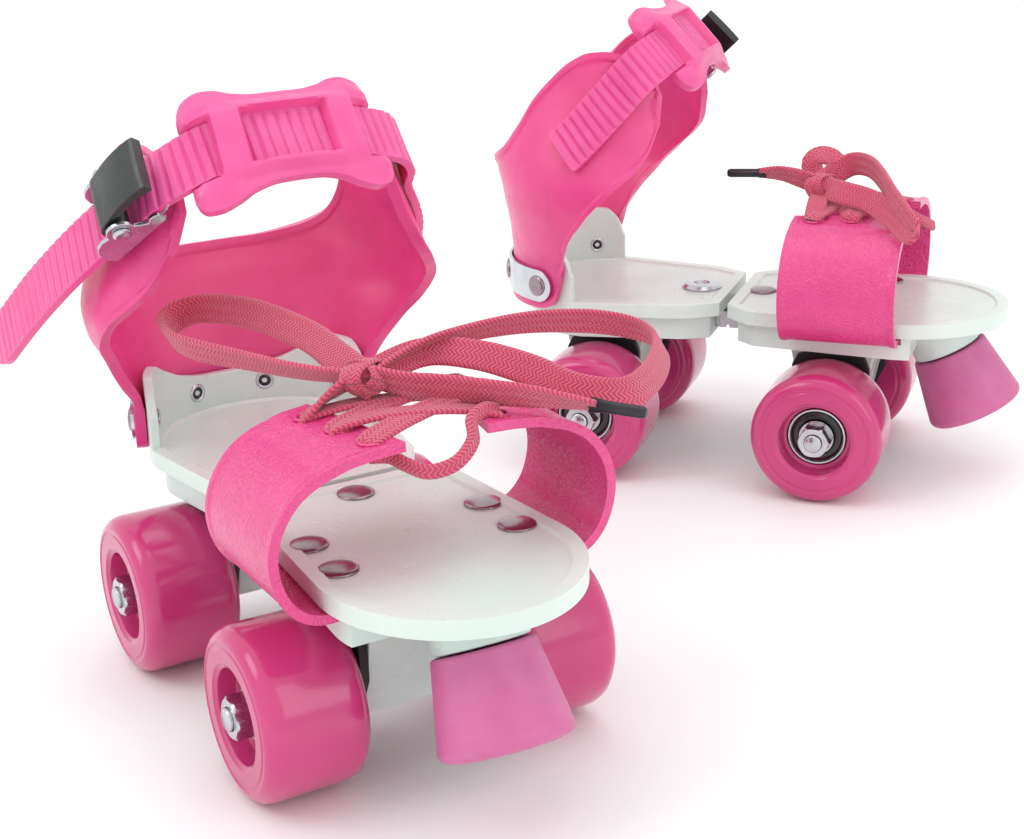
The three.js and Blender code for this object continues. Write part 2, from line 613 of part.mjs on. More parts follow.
function flapHeight(y) {
  return lerpTable([[flapEnd.front, flapEnd.z], [20, 102], [28, 101], [35.5, 98.7]], y);
}

function toeStrapBody(side) {
  const xs = [toeStrap.rear, (toeStrap.rear + toeStrap.front) / 2, toeStrap.front];
  const last = toeStrapLine.length - 1;
  const grid = toeStrapLine.map(([y, z], i) => xs.map((x) => {
    if (i < last) return new THREE.Vector3(x, side * y, z);
    const edge = flapEdge(x);
    return new THREE.Vector3(x, side * edge, flapHeight(edge));
  }));
  if (side < 0) grid.reverse();
  let body = solid(thickSheet(grid, strapThickness / 2, strapThickness / 2));
  for (const x of toeStrap.holes) {
    const hole = new THREE.CylinderGeometry(toeStrap.holeRadius, toeStrap.holeRadius, 12, 10).rotateX(Math.PI / 2);
    const y = flapEdge(x) + toeStrap.holeInset;
    body = body.subtract(solid(hole.translate(x, side * y, flapHeight(y))));
  }
  return body;
}

// ---------------------------------------------------------------- toe stop and lace
function toeStopGeometry() {
  const r = toeStop;
  const profile = [[0, 0], [r.topRadius, 0], [r.bottomRadius, r.height - 3], [r.bottomRadius - 2.4, r.height], [0, r.height]];
  const points = profile.map(([x, y]) => new THREE.Vector2(x, y));
  return alongStop(new THREE.LatheGeometry(points, 22), 0);
}

// Lace routes of each skate, from the knot: two loops and a tail of the bow.
const laceRoutes = {
  right: {
    knot: [-4, -8, 112],
    loops: [
      [[-4, -8, 112], [-20, -9, 114], [-36, -10, 116], [-60, -16, 117.5], [-78, -24, 116.5], [-84, -31, 114],
        [-78, -37, 112], [-62, -37, 111], [-41, -27, 110.5], [-20, -18, 111], [-4, -8, 112]],
      [[-4, -8, 112], [-8, 6, 115], [-10, 20, 116.5], [-12, 45, 116], [-10, 66, 113.5], [-3, 78, 111],
        [8, 79, 109.5], [20, 71, 108], [32, 57, 107], [34, 47, 107], [26, 38, 108.5], [13, 33, 111], [0, 24, 113.5],
        [-9, 12, 114], [-4, -8, 112]],
    ],
    tail: [[-4, -8, 112], [4, 0, 110.5], [12, 10, 109.5], [22, 23, 108.3], [31, 33, 107.2], [38, 39, 106.6]],
  },
  left: {
    knot: [-15, 5, 113],
    loops: [
      [[-15, 5, 113], [-8, -2, 117], [0, -5, 120], [8, 2, 120.5], [15, 14, 118.5], [22, 29, 114.5], [29, 40, 110],
        [33, 45, 106.5], [30, 41, 105.5], [22, 29, 109], [12, 20, 111.5], [0, 16, 113], [-9, 13, 113], [-15, 5, 113]],
      [[-15, 5, 113], [-19, 0, 117], [-19, -5, 120], [-12, -9, 120.5], [-5, -9, 118.5], [-3, -2, 115.5], [-15, 5, 113]],
    ],
    tail: [[-15, 5, 113], [-22, 4, 114.2], [-30, 2, 115], [-38, 0, 115.4], [-46, -1, 115.2], [-53, -2, 114.6]],
  },
};

function laceBody(side) {
  const route = laceRoutes[side];
  const bow = [...route.loops, route.tail].map((points) => cordRun(points, lace.bow));
  const knot = solid(new THREE.SphereGeometry(lace.knot, 10, 7).scale(1, 1, 0.75).translate(...route.knot));
  const hole = (x, flap) => {
    const y = flapEdge(x) + toeStrap.holeInset;
    return [x, flap * y, flapHeight(y) + strapThickness / 2 + lace.lacing + lace.clear];
  };
  const [rear, centre, front] = toeStrap.holes;
  const crossings = [[hole(rear, -1), hole(centre, 1)], [hole(rear, 1), hole(centre, -1)],
    [hole(centre, -1), hole(front, 1)], [hole(centre, 1), hole(front, -1)]];
  const lacing = crossings.map((ends) => cordRun(ends, lace.lacing));
  const risers = [-1, 1].map((flap) => cordRun([hole(rear, flap), route.knot], lace.lacing));
  return union([knot, ...bow, ...lacing, ...risers]);
}

// ---------------------------------------------------------------- one skate
function skate(side, place) {
  const group = new THREE.Group();
  const add = (name, finish, geometry) => {
    const mesh = new THREE.Mesh(geometry, new THREE.MeshStandardMaterial(finishes[finish]));
    mesh.name = `${side}_${name}`;
    group.add(mesh);
    return mesh;
  };
  add('front_plate', 'sole', geometryOf(frontPlate()));
  add('rear_plate', 'sole', geometryOf(rearPlate()));
  add('slide_bar', 'steel', geometryOf(slideBarBody()));
  add('clamp_bolt', 'steel', geometryOf(clampBoltBody()));
  for (const [end, x] of [['front', 0], ['rear', -wheelbase]]) {
    add(`${end}_carrier`, 'black', geometryOf(carrierBody(x)));
    add(`${end}_axle`, 'steel', axleGeometry(x));
    for (const [flank, sign] of [['outer', -1], ['inner', 1]]) {
      const pieces = [
        [add(`${end}_${flank}_wheel`, 'wheel', wheelGeometry()), wheelMiddle],
        [add(`${end}_${flank}_bearings`, 'steel', bearingsGeometry()), wheelMiddle],
        [add(`${end}_${flank}_nut`, 'steel', nutGeometry()), nutMiddle],
      ];
      for (const [piece, distance] of pieces) {
        piece.position.set(x, sign * distance, wheelRadius);
        piece.rotation.z = sign < 0 ? Math.PI : 0;
      }
    }
  }
  add('toe_stop', 'stop', toeStopGeometry());
  add('cuff', 'strap', cuffGeometry());
  add('heel_band', 'steel', heelBandGeometry());
  add('ladder_strap', 'strap', ladderStrapGeometry());
  add('ankle_pad', 'strap', geometryOf(anklePadBody()));
  for (const [name, finish, body] of [['frame', 'steel', buckleFrameBody()], ['lever', 'black', buckleLeverBody()]]) {
    add(`buckle_${name}`, finish, geometryOf(body).applyMatrix4(buckleMatrix()));
  }
  add('toe_strap_outer', 'strap', geometryOf(toeStrapBody(-1)));
  add('toe_strap_inner', 'strap', geometryOf(toeStrapBody(1)));
  add('lace', 'lace', geometryOf(laceBody(side)));

  group.position.set(place.x, place.y, 0);
  group.rotation.z = radians(place.turn);
  if (side === 'left') group.scale.y = -1;
  return group;
}

const pair = new THREE.Group();
pair.add(skate('right', rightPlace), skate('left', leftPlace));

// The origin is on the floor, under the middle of everything but the laces.
pair.updateMatrixWorld(true);
const bounds = new THREE.Box3();
pair.traverse((node) => {
  if (node.isMesh && !node.name.endsWith('lace')) bounds.expandByObject(node, true);
});
const middle = bounds.getCenter(new THREE.Vector3());
for (const one of pair.children) {
  one.position.x -= middle.x;
  one.position.y -= middle.y;
}

export default pair;
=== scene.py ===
"""Looks for a pair of children's strap-on quad roller skates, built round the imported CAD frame.

Each skate is drawn in millimetres in its own frame: X towards the toe, Y towards the inner side of the
foot, Z up, origin on the floor under the front axle. `place` turns that into metres in the row frame, and
mirrors it for the left skate.
"""

import math

import bmesh
import bpy
import numpy as np
from mathutils import Matrix, Vector


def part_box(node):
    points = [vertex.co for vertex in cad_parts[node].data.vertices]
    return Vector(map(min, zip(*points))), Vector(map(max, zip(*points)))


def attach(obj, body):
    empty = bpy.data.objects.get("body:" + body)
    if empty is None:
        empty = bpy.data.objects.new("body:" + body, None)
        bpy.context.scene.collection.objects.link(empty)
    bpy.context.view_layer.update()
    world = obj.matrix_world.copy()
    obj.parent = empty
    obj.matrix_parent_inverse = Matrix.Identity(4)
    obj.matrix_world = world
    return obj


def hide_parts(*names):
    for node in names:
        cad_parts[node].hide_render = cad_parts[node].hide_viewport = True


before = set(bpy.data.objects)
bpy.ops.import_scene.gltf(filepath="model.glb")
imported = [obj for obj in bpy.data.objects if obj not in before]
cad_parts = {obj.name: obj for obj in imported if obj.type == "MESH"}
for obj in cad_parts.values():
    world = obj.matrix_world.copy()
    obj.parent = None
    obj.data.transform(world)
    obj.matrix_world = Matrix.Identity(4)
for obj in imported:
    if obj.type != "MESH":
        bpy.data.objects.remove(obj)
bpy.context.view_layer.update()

MM = 0.001
SIDES = ("right", "left")
UP = np.array([0.0, 0.0, 1.0])

# ---------------------------------------------------------------- sizes that follow the CAD
WHEELBASE = 92
WHEEL_R = 25
WHEEL_W = 30.6
WHEEL_Y = 39.3
SOLE_TOP, SOLE_UNDER, SKIRT_BOTTOM, HOLLOW_TOP = 68, 62.5, 53, 62
CUFF_T = 2.6
HEEL_X = -97
FOOT_HALF, FOOT_BACK = 40.1, 37.1
ANKLE = np.array([-97.0, 0.0, 131.0])
SLOPE = math.radians(42)
U = np.array([math.cos(SLOPE), 0.0, math.sin(SLOPE)])
W = np.array([math.sin(SLOPE), 0.0, -math.cos(SLOPE)])
STRAP_W, STRAP_T, STRAP_LIFT = 17.0, 2.4, 0.7


# ---------------------------------------------------------------- where each skate stands
def middle(node):
    low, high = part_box(node)
    return (low + high) / 2


def skate_matrix(side):
    front, rear = middle(f"{side}_front_axle"), middle(f"{side}_rear_axle")
    turn = math.atan2(front.y - rear.y, front.x - rear.x)
    mirror = 1 if side == "right" else -1
    spot = Matrix.Translation((front.x, front.y, 0)) @ Matrix.Rotation(turn, 4, "Z")
    return spot @ Matrix.Diagonal((MM, MM * mirror, MM, 1))


PLACE = {side: skate_matrix(side) for side in SIDES}


# ---------------------------------------------------------------- camera
def add_camera():
    data = bpy.data.cameras.new("camera")
    data.sensor_width = 36
    data.lens = 62.32
    cam = bpy.data.objects.new("camera", data)
    bpy.context.scene.collection.objects.link(cam)
    left = middle("left_front_axle")
    turn, pitch, roll = math.radians(20.35), math.radians(19.51), math.radians(-1.62)
    level = Vector((-math.sin(turn), math.cos(turn), 0))
    forward = level * math.cos(pitch) + Vector((0, 0, -math.sin(pitch)))
    right = Vector((math.cos(turn), math.sin(turn), 0))
    up = right.cross(forward)
    right, up = (
        right * math.cos(roll) + up * math.sin(roll),
        up * math.cos(roll) - right * math.sin(roll),
    )
    basis = Matrix((right, up, -forward)).transposed().to_4x4()
    eye = Vector((left.x + 0.1111, left.y - 0.679, 0.2587))
    cam.matrix_world = Matrix.Translation(eye) @ basis
    bpy.context.scene.camera = cam


add_camera()
bpy.context.scene.view_settings.view_transform = "Standard"


# ---------------------------------------------------------------- materials
def linear(r, g, b):
    """A colour given as 0 to 255 sRGB."""
    out = []
    for channel in (r, g, b):
        c = channel / 255
        out.append(c / 12.92 if c <= 0.04045 else ((c + 0.055) / 1.055) ** 2.4)
    return (*out, 1.0)


class Mat:
    """A material whose node tree is wired up step by step."""

    def __init__(self, name, **sockets):
        self.mat = bpy.data.materials.new(name)
        self.mat.use_nodes = True
        self.tree = self.mat.node_tree
        self.bsdf = next(n for n in self.tree.nodes if n.type == "BSDF_PRINCIPLED")
        for key, value in sockets.items():
            self.bsdf.inputs[key.replace("_", " ")].default_value = value
        self.coords = self.node("ShaderNodeTexCoord")

    def node(self, kind, **inputs):
        node = self.tree.nodes.new(kind)
        for key, value in inputs.items():
            node.inputs[key.replace("_", " ")].default_value = value
        return node

    def link(self, source, target):
        self.tree.links.new(source, target)

    def noise(self, scale, detail=3.0, rough=0.5):
        node = self.node("ShaderNodeTexNoise", Scale=scale, Detail=detail, Roughness=rough)
        self.link(self.coords.outputs["Object"], node.inputs["Vector"])
        return node.outputs["Fac"]

    def cells(self, scale, feature="DISTANCE_TO_EDGE"):
        node = self.node("ShaderNodeTexVoronoi", Scale=scale)
        node.feature = feature
        self.link(self.coords.outputs["Object"], node.inputs["Vector"])
        return node.outputs["Distance"]

    def math(self, operation, a, b=0.0):
        node = self.tree.nodes.new("ShaderNodeMath")
        node.operation = operation
        for socket, value in zip(node.inputs, (a, b)):
            if isinstance(value, (int, float)):
                socket.default_value = value
            else:
                self.link(value, socket)
        return node.outputs[0]

    def span(self, value, low, high, start=0.3, end=0.7):
        node = self.node("ShaderNodeMapRange")
        node.inputs["From Min"].default_value = start
        node.inputs["From Max"].default_value = end
        node.inputs["To Min"].default_value = low
        node.inputs["To Max"].default_value = high
        self.link(value, node.inputs["Value"])
        return node.outputs["Result"]

    def colours(self, factor, first, second):
        node = self.tree.nodes.new("ShaderNodeMix")
        node.data_type = "RGBA"
        self.link(factor, node.inputs[0])
        node.inputs[6].default_value = first
        node.inputs[7].default_value = second
        self.link(node.outputs[2], self.bsdf.inputs["Base Color"])
        return self

    def rough(self, value, low, high):
        self.link(self.span(value, low, high), self.bsdf.inputs["Roughness"])
        return self

    def bump(self, height, strength, distance, under=None):
        node = self.node("ShaderNodeBump", Strength=strength, Distance=distance)
        self.link(height, node.inputs["Height"])
        if under is not None:
            self.link(under, node.inputs["Normal"])
        self.link(node.outputs["Normal"], self.bsdf.inputs["Normal"])
        return node.outputs["Normal"]


def moulded(name, base, deep, rough, grain=0.00006, mottle=70, **sockets):
    """Moulded plastic: slow shifts of colour, a fine orange-peel skin and uneven gloss."""
    m = Mat(name, **sockets)
    m.colours(m.span(m.noise(mottle, 4), 0, 1), base, deep)
    m.rough(m.noise(mottle * 4, 3), *rough)
    skin = m.bump(m.noise(420, 2), 0.5, grain)
    m.bump(m.noise(2600, 2), 0.3, grain * 0.5, skin)
    return m.mat


def leathery(name, base, deep):
    """Embossed strap plastic with a leather grain."""
    m = Mat(name, Coat_Weight=0.4, Coat_Roughness=0.22, Subsurface_Weight=0.08)
    m.bsdf.inputs["Subsurface Radius"].default_value = (0.004, 0.0015, 0.002)
    m.colours(m.span(m.noise(60, 4), 0, 1), base, deep)
    m.rough(m.noise(500, 3), 0.26, 0.42)
    ripple = m.bump(m.noise(170, 3), 0.8, 0.001)
    grain = m.math("MINIMUM", m.cells(620), 0.25)
    m.bump(grain, 0.9, 0.0009, ripple)
    return m.mat


def metal(name, base, deep, rough, scratch=900):
    m = Mat(name, Metallic=1.0)
    m.colours(m.span(m.noise(90, 4), 0, 1), base, deep)
    m.rough(m.noise(scratch, 4, 0.7), *rough)
    m.bump(m.noise(scratch * 2, 3), 0.15, 0.00005)
    return m.mat


def woven(name, base, deep):
    """Flat lace with three columns of chevrons; its UV map is in millimetres, along and across."""
    m = Mat(name, Roughness=0.85, Sheen_Weight=0.35, Sheen_Roughness=0.4)
    split = m.node("ShaderNodeSeparateXYZ")
    m.link(m.coords.outputs["UV"], split.inputs["Vector"])
    across = m.math("FRACT", m.math("DIVIDE", split.outputs["Y"], 3.0))
    fold = m.math("MULTIPLY", m.math("ABSOLUTE", m.math("SUBTRACT", across, 0.5)), 3.0)
    wave = m.math("SINE", m.math("MULTIPLY", m.math("ADD", split.outputs["X"], fold), 4.6))
    yarn_height_and_shade = m.span(wave, 0, 1, -0.9, 0.9)
    speckle = m.noise(1500, 3)
    # Painted shade: the colour falls to the deep colour in the low grooves of the chevron weave, following the same
    # yarn height that drives the bump; the speckle adds random tone.
    m.colours(m.math("MULTIPLY", yarn_height_and_shade, m.span(speckle, 0.75, 1)), deep, base)
    body = m.bump(yarn_height_and_shade, 0.8, 0.0004)
    m.bump(speckle, 0.4, 0.0002, body)
    return m.mat


PINK, PINK_DEEP = linear(230, 72, 142), linear(221, 60, 131)
sole_mat = moulded("sole_plastic", linear(226, 231, 227), linear(208, 226, 218), (0.24, 0.36), grain=0.00003, mottle=16,
                   Coat_Weight=0.2, Coat_Roughness=0.25, Subsurface_Weight=0.05)
wheel_mat = moulded("wheel_plastic", linear(202, 60, 122), linear(193, 50, 113), (0.14, 0.22), mottle=30,
                    Coat_Weight=0.35, Coat_Roughness=0.12, Subsurface_Weight=0.06)
cuff_mat = moulded("cuff_plastic", PINK, PINK_DEEP, (0.3, 0.42), Coat_Weight=0.2, Coat_Roughness=0.3,
                   Subsurface_Weight=0.08)
strap_mat = moulded("strap_plastic", linear(234, 90, 156), linear(226, 77, 145), (0.3, 0.42), mottle=90,
                    Coat_Weight=0.15, Coat_Roughness=0.3, Subsurface_Weight=0.1)
toe_mat = leathery("toe_strap_leathery", PINK, PINK_DEEP)
stop_mat = moulded("stop_rubber", linear(205, 108, 156), linear(196, 96, 146), (0.4, 0.55), grain=0.0001)
steel_mat = metal("plated_steel", linear(214, 216, 220), linear(188, 190, 196), (0.12, 0.3))
shield_mat = moulded("bearing_shield", linear(26, 20, 23), linear(16, 12, 14), (0.12, 0.22),
                     Coat_Weight=0.4, Coat_Roughness=0.1)
# Rivet steel is tinted pink: the pink is a painted reflection of the pink straps and cuff around the rivets.
rivet_pink_reflection_mat = metal("rivet_steel", linear(176, 160, 166), linear(140, 120, 128), (0.15, 0.3))
lever_mat = moulded("lever_black", linear(34, 38, 37), linear(24, 27, 27), (0.3, 0.45), grain=0.00008,
                    Coat_Weight=0.3, Coat_Roughness=0.3)
carrier_mat = moulded("carrier_black", linear(26, 26, 28), linear(16, 16, 18), (0.4, 0.55))
tip_mat = metal("lace_tip", linear(74, 72, 76), linear(48, 47, 50), (0.25, 0.4))
lace_mat = woven("lace_weave", linear(228, 104, 132), linear(190, 62, 94))


# ---------------------------------------------------------------- mesh building
def build(side, name, verts, faces, mat, body, slot, replaces=(), bevel=0.0, uv=None, subdivide=0):
    """One piece, from millimetre points in the skate's own frame."""
    name = f"{side}_{name}"
    mesh = bpy.data.meshes.new(name)
    mesh.from_pydata([tuple(float(c) for c in v) for v in verts], [], faces)
    if uv is not None:
        layer = mesh.uv_layers.new(name="UVMap")
        for loop in mesh.loops:
            layer.data[loop.index].uv = uv[loop.vertex_index]
    mesh.transform(PLACE[side])
    shell = bmesh.new()
    shell.from_mesh(mesh)
    bmesh.ops.remove_doubles(shell, verts=shell.verts, dist=2e-6)
    bmesh.ops.recalc_face_normals(shell, faces=shell.faces)
    for face in shell.faces:
        face.smooth = True
    shell.to_mesh(mesh)
    shell.free()
    mesh.materials.append(mat)
    piece = bpy.data.objects.new(name, mesh)
    bpy.context.scene.collection.objects.link(piece)
    if bevel:
        add_bevel(piece, bevel)
    if subdivide:
        piece.modifiers.new("smooth", "SUBSURF").levels = subdivide
        piece.modifiers["smooth"].render_levels = subdivide
    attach(piece, f"{side}_{body}")
    if replaces:
        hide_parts(*[f"{side}_{node}" for node in replaces])
    return piece


def add_bevel(piece, width, angle=32):
    bevel = piece.modifiers.new("edges", "BEVEL")
    bevel.width = width * MM
    bevel.segments = 3
    bevel.limit_method = "ANGLE"
    bevel.angle_limit = math.radians(angle)
    bevel.harden_normals = True


def cut(piece, *cutters):
    """Takes closed shapes, given as (verts, faces) in the same frame, out of a piece."""
    side = piece.name.split("_")[0]
    for verts, faces in cutters:
        mesh = bpy.data.meshes.new("cutter")
        mesh.from_pydata([tuple(float(c) for c in v) for v in verts], [], faces)
        mesh.transform(PLACE[side])
        shell = bmesh.new()
        shell.from_mesh(mesh)
        bmesh.ops.recalc_face_normals(shell, faces=shell.faces)
        shell.to_mesh(mesh)
        shell.free()
        cutter = bpy.data.objects.new("cutter", mesh)
        bpy.context.scene.collection.objects.link(cutter)
        boolean = piece.modifiers.new("cut", "BOOLEAN")
        boolean.operation = "DIFFERENCE"
        boolean.solver = "EXACT"
        boolean.object = cutter
        while piece.modifiers[0] != boolean:
            piece.modifiers.move(len(piece.modifiers) - 1, 0)
        bpy.context.view_layer.update()
        graph = bpy.context.evaluated_depsgraph_get()
        others = [m for m in piece.modifiers if m != boolean]
        for m in others:
            m.show_viewport = False
        bpy.context.view_layer.update()
        result = bpy.data.meshes.new_from_object(piece.evaluated_get(graph))
        for m in others:
            m.show_viewport = True
        piece.modifiers.remove(boolean)
        piece.data = result
        bpy.data.objects.remove(cutter)
    for polygon in piece.data.polygons:
        polygon.use_smooth = True


def join(*shapes):
    """Several (verts, faces) shapes as one."""
    verts, faces = [], []
    for points, polygons in shapes:
        start = len(verts)
        verts += [tuple(p) for p in points]
        faces += [[start + i for i in polygon] for polygon in polygons]
    return verts, faces


def loft(rings, caps=True, closed=False):
    """Skin over rings that all have the same number of points."""
    rings = np.asarray(rings, float)
    count, size = rings.shape[:2]
    faces = []
    for i in range(count if closed else count - 1):
        after = (i + 1) % count
        for j in range(size):
            k = (j + 1) % size
            faces.append([i * size + j, i * size + k, after * size + k, after * size + j])
    if caps and not closed:
        faces.append(list(range(size))[::-1])
        faces.append([(count - 1) * size + j for j in range(size)])
    return [tuple(p) for p in rings.reshape(-1, 3)], faces


def prism(outline, low, high, plane="xy"):
    """A closed outline carried straight from one level to another."""
    outline = np.asarray(outline, float)
    rings = []
    for level in (low, high):
        flat = np.full(len(outline), float(level))
        columns = {"xy": (outline[:, 0], outline[:, 1], flat), "xz": (outline[:, 0], flat, outline[:, 1])}[plane]
        rings.append(np.stack(columns, 1))
    return loft(rings)


def block(x0, x1, y0, y1, z0, z1):
    return prism([(x0, y0), (x1, y0), (x1, y1), (x0, y1)], z0, z1)


def turned(profile, centre, axis, segments=64, closed=True):
    """A profile of (radius, distance along the axis) turned about an axis. Closed profiles make rings."""
    axis = np.asarray(axis, float) / np.linalg.norm(axis)
    side = np.cross(axis, UP if abs(axis[2]) < 0.9 else np.array([1.0, 0, 0]))
    side /= np.linalg.norm(side)
    other = np.cross(axis, side)
    angles = np.linspace(0, 2 * math.pi, segments, endpoint=False)
    rings = []
    for radius, along in profile:
        radius = max(radius, 1e-3)
        ring = [np.asarray(centre) + axis * along + radius * (side * math.cos(a) + other * math.sin(a)) for a in angles]
        rings.append(ring)
    return loft(rings, caps=not closed, closed=closed)


def normals(grid):
    along = np.empty_like(grid)
    across = np.empty_like(grid)
    along[1:-1] = grid[2:] - grid[:-2]
    along[0], along[-1] = grid[1] - grid[0], grid[-1] - grid[-2]
    across[:, 1:-1] = grid[:, 2:] - grid[:, :-2]
    across[:, 0], across[:, -1] = grid[:, 1] - grid[:, 0], grid[:, -1] - grid[:, -2]
    out = np.cross(along, across)
    return out / np.maximum(np.linalg.norm(out, axis=2, keepdims=True), 1e-9)


def sheet(grid, below, above):
    """A closed sheet round a middle surface. below and above are thicknesses, one number or one per point."""
    grid = np.asarray(grid, float)
    m, n = grid.shape[:2]
    normal = normals(grid)
    below = np.broadcast_to(np.asarray(below, float), (m, n))[..., None]
    above = np.broadcast_to(np.asarray(above, float), (m, n))[..., None]
    verts = np.concatenate([(grid - normal * below).reshape(-1, 3), (grid + normal * above).reshape(-1, 3)])
    faces = []
    top = m * n
    for i in range(m - 1):
        for j in range(n - 1):
            a, b, c, d = i * n + j, (i + 1) * n + j, (i + 1) * n + j + 1, i * n + j + 1
            faces.append([top + a, top + b, top + c, top + d])
            faces.append([a, d, c, b])
    edge = [i * n for i in range(m)] + [(m - 1) * n + j for j in range(1, n)]
    edge += [i * n + n - 1 for i in range(m - 2, -1, -1)] + [j for j in range(n - 2, 0, -1)]
    for a, b in zip(edge, edge[1:] + edge[:1]):
        faces.append([a, b, top + b, top + a])
    return verts, faces


def ease(table, x):
    """Smooth monotone interpolation through a table of (x, y)."""
    xs, ys = (np.array(column, float) for column in zip(*table))
    step = np.diff(xs)
    slope = np.diff(ys) / step
    tangent = np.zeros(len(xs))
    for i in range(1, len(xs) - 1):
        if slope[i - 1] * slope[i] > 0:
            a, b = 2 * step[i] + step[i - 1], step[i] + 2 * step[i - 1]
            tangent[i] = (a + b) / (a / slope[i - 1] + b / slope[i])
    tangent[0], tangent[-1] = slope[0], slope[-1]
    x = np.clip(np.asarray(x, float), xs[0], xs[-1])
    k = np.clip(np.searchsorted(xs, x, side="right") - 1, 0, len(xs) - 2)
    t = (x - xs[k]) / step[k]
    a = (1 + 2 * t) * (1 - t) ** 2 * ys[k] + t * (1 - t) ** 2 * step[k] * tangent[k]
    return a + t * t * (3 - 2 * t) * ys[k + 1] + t * t * (t - 1) * step[k] * tangent[k + 1]


def spline(points, fine=24):
    """Catmull-Rom curve through points, finely sampled."""
    p = np.asarray(points, float)
    p = np.concatenate([[2 * p[0] - p[1]], p, [2 * p[-1] - p[-2]]])
    out = []
    for i in range(1, len(p) - 2):
        for t in np.arange(fine) / fine:
            a, b, c, d = p[i - 1 : i + 3]
            out.append(0.5 * (2 * b + (c - a) * t + (2 * a - 5 * b + 4 * c - d) * t * t
                              + (3 * b - a - 3 * c + d) * t**3))
    out.append(p[-2])
    return np.array(out)


def even(line, step):
    """A polyline resampled evenly, with the distance run so far."""
    run = np.concatenate([[0], np.cumsum(np.linalg.norm(np.diff(line, axis=0), axis=1))])
    count = max(2, int(round(run[-1] / step)) + 1)
    at = np.linspace(0, run[-1], count)
    return np.stack([np.interp(at, run, line[:, k]) for k in range(line.shape[1])], 1), at


# ---------------------------------------------------------------- laces
FLAP_REAR, FLAP_FRONT = 20.0, 12.0
TOE_REAR, TOE_FRONT = -16.0, 27.0
HOLES = (-8, 6, 20)
HOLE_INSET = 5.5
LACE_W, LACE_T = 9.0, 1.7

LACES = {
    "right": {
        "knot": (-4, -8, 112),
        "loops": [
            [(-4, -8, 112), (-20, -9, 114), (-36, -10, 116), (-60, -16, 117.5), (-78, -24, 116.5), (-84, -31, 114),
             (-78, -37, 112), (-62, -37, 111), (-41, -27, 110.5), (-20, -18, 111), (-4, -8, 112)],
            [(-4, -8, 112), (-8, 6, 115), (-10, 20, 116.5), (-12, 45, 116), (-10, 66, 113.5), (-3, 78, 111),
             (8, 79, 109.5), (20, 71, 108), (32, 57, 107), (34, 47, 107), (26, 38, 108.5), (13, 33, 111),
             (0, 24, 113.5), (-9, 12, 114), (-4, -8, 112)],
        ],
        "tail": [(-4, -8, 112), (4, 0, 110.5), (12, 10, 109.5), (22, 23, 108.3), (31, 33, 107.2), (38, 39, 106.6)],
    },
    "left": {
        "knot": (-9, 5, 112),
        "loops": [
            [(-9, 5, 112), (-4, -1, 116.5), (2, -3, 119.5), (9, 3, 120), (15, 13, 118), (22, 28, 114), (29, 40, 109.5),
             (33, 46, 106), (30, 42, 104.6), (22, 30, 107.5), (12, 20, 110.5), (0, 14, 112), (-9, 5, 112),
             (-13, 0, 116), (-14, -2, 120.5), (-10, -3, 122.5), (-5, -3, 120.5), (-5, 0, 116), (-9, 5, 112)],
        ],
        "tail": [(-9, 5, 112), (-14, 5, 113.6), (-20, 4, 115), (-26, 3, 115.8), (-33, 3, 115.6)],
    },
}


def flap_edge(x):
    return FLAP_REAR + (FLAP_FRONT - FLAP_REAR) * (x - TOE_REAR) / (TOE_FRONT - TOE_REAR)


def flap_z(y):
    return float(np.interp(y, [FLAP_FRONT, 20, 28, 35.5], [102.4, 102, 101, 98.7]))


def hole(x, flap, lift=0.0):
    y = flap_edge(x) + HOLE_INSET
    return np.array([x, flap * y, flap_z(y) + lift])


def ribbon(points, tilt, carried=False, width=LACE_W, thickness=LACE_T, step=1.5):
    """A flat lace along points, its width tilted from level. When carried, it only starts so and follows the bends."""
    line, run = even(spline(points), step)
    tangent = np.gradient(line, axis=0)
    tangent /= np.linalg.norm(tangent, axis=1, keepdims=True)
    if carried:
        level = np.cross(tangent[0], UP)
        level /= np.linalg.norm(level)
        across = [level * math.cos(math.radians(tilt)) + np.cross(level, tangent[0]) * math.sin(math.radians(tilt))]
        for t in tangent[1:]:
            turned_on = across[-1] - t * np.dot(across[-1], t)
            across.append(turned_on / np.linalg.norm(turned_on))
        across = np.array(across)
    else:
        level = np.cross(tangent, UP)
        level /= np.linalg.norm(level, axis=1, keepdims=True)
        tilts = np.atleast_1d(tilt)
        angle = np.radians(np.interp(run / run[-1], np.linspace(0, 1, len(tilts)), tilts))[:, None]
        across = level * np.cos(angle) + np.cross(level, tangent) * np.sin(angle)
    thick = np.cross(tangent, across)
    section = []
    half, round_ = width / 2, thickness / 2
    for k in range(-4, 5):
        section.append((k / 4 * (half - round_), round_))
    section += [(half - round_ * 0.3, round_ * 0.7), (half, 0), (half - round_ * 0.3, -round_ * 0.7)]
    for k in range(4, -5, -1):
        section.append((k / 4 * (half - round_), -round_))
    section += [(-half + round_ * 0.3, -round_ * 0.7), (-half, 0), (-half + round_ * 0.3, round_ * 0.7)]
    rings, uv = [], []
    for centre, a, t, s in zip(line, across, thick, run):
        rings.append([centre + a * x + t * y for x, y in section])
        uv += [(s, x + half) for x, y in section]
    verts, faces = loft(rings)
    return verts, faces, uv, line, run[-1]


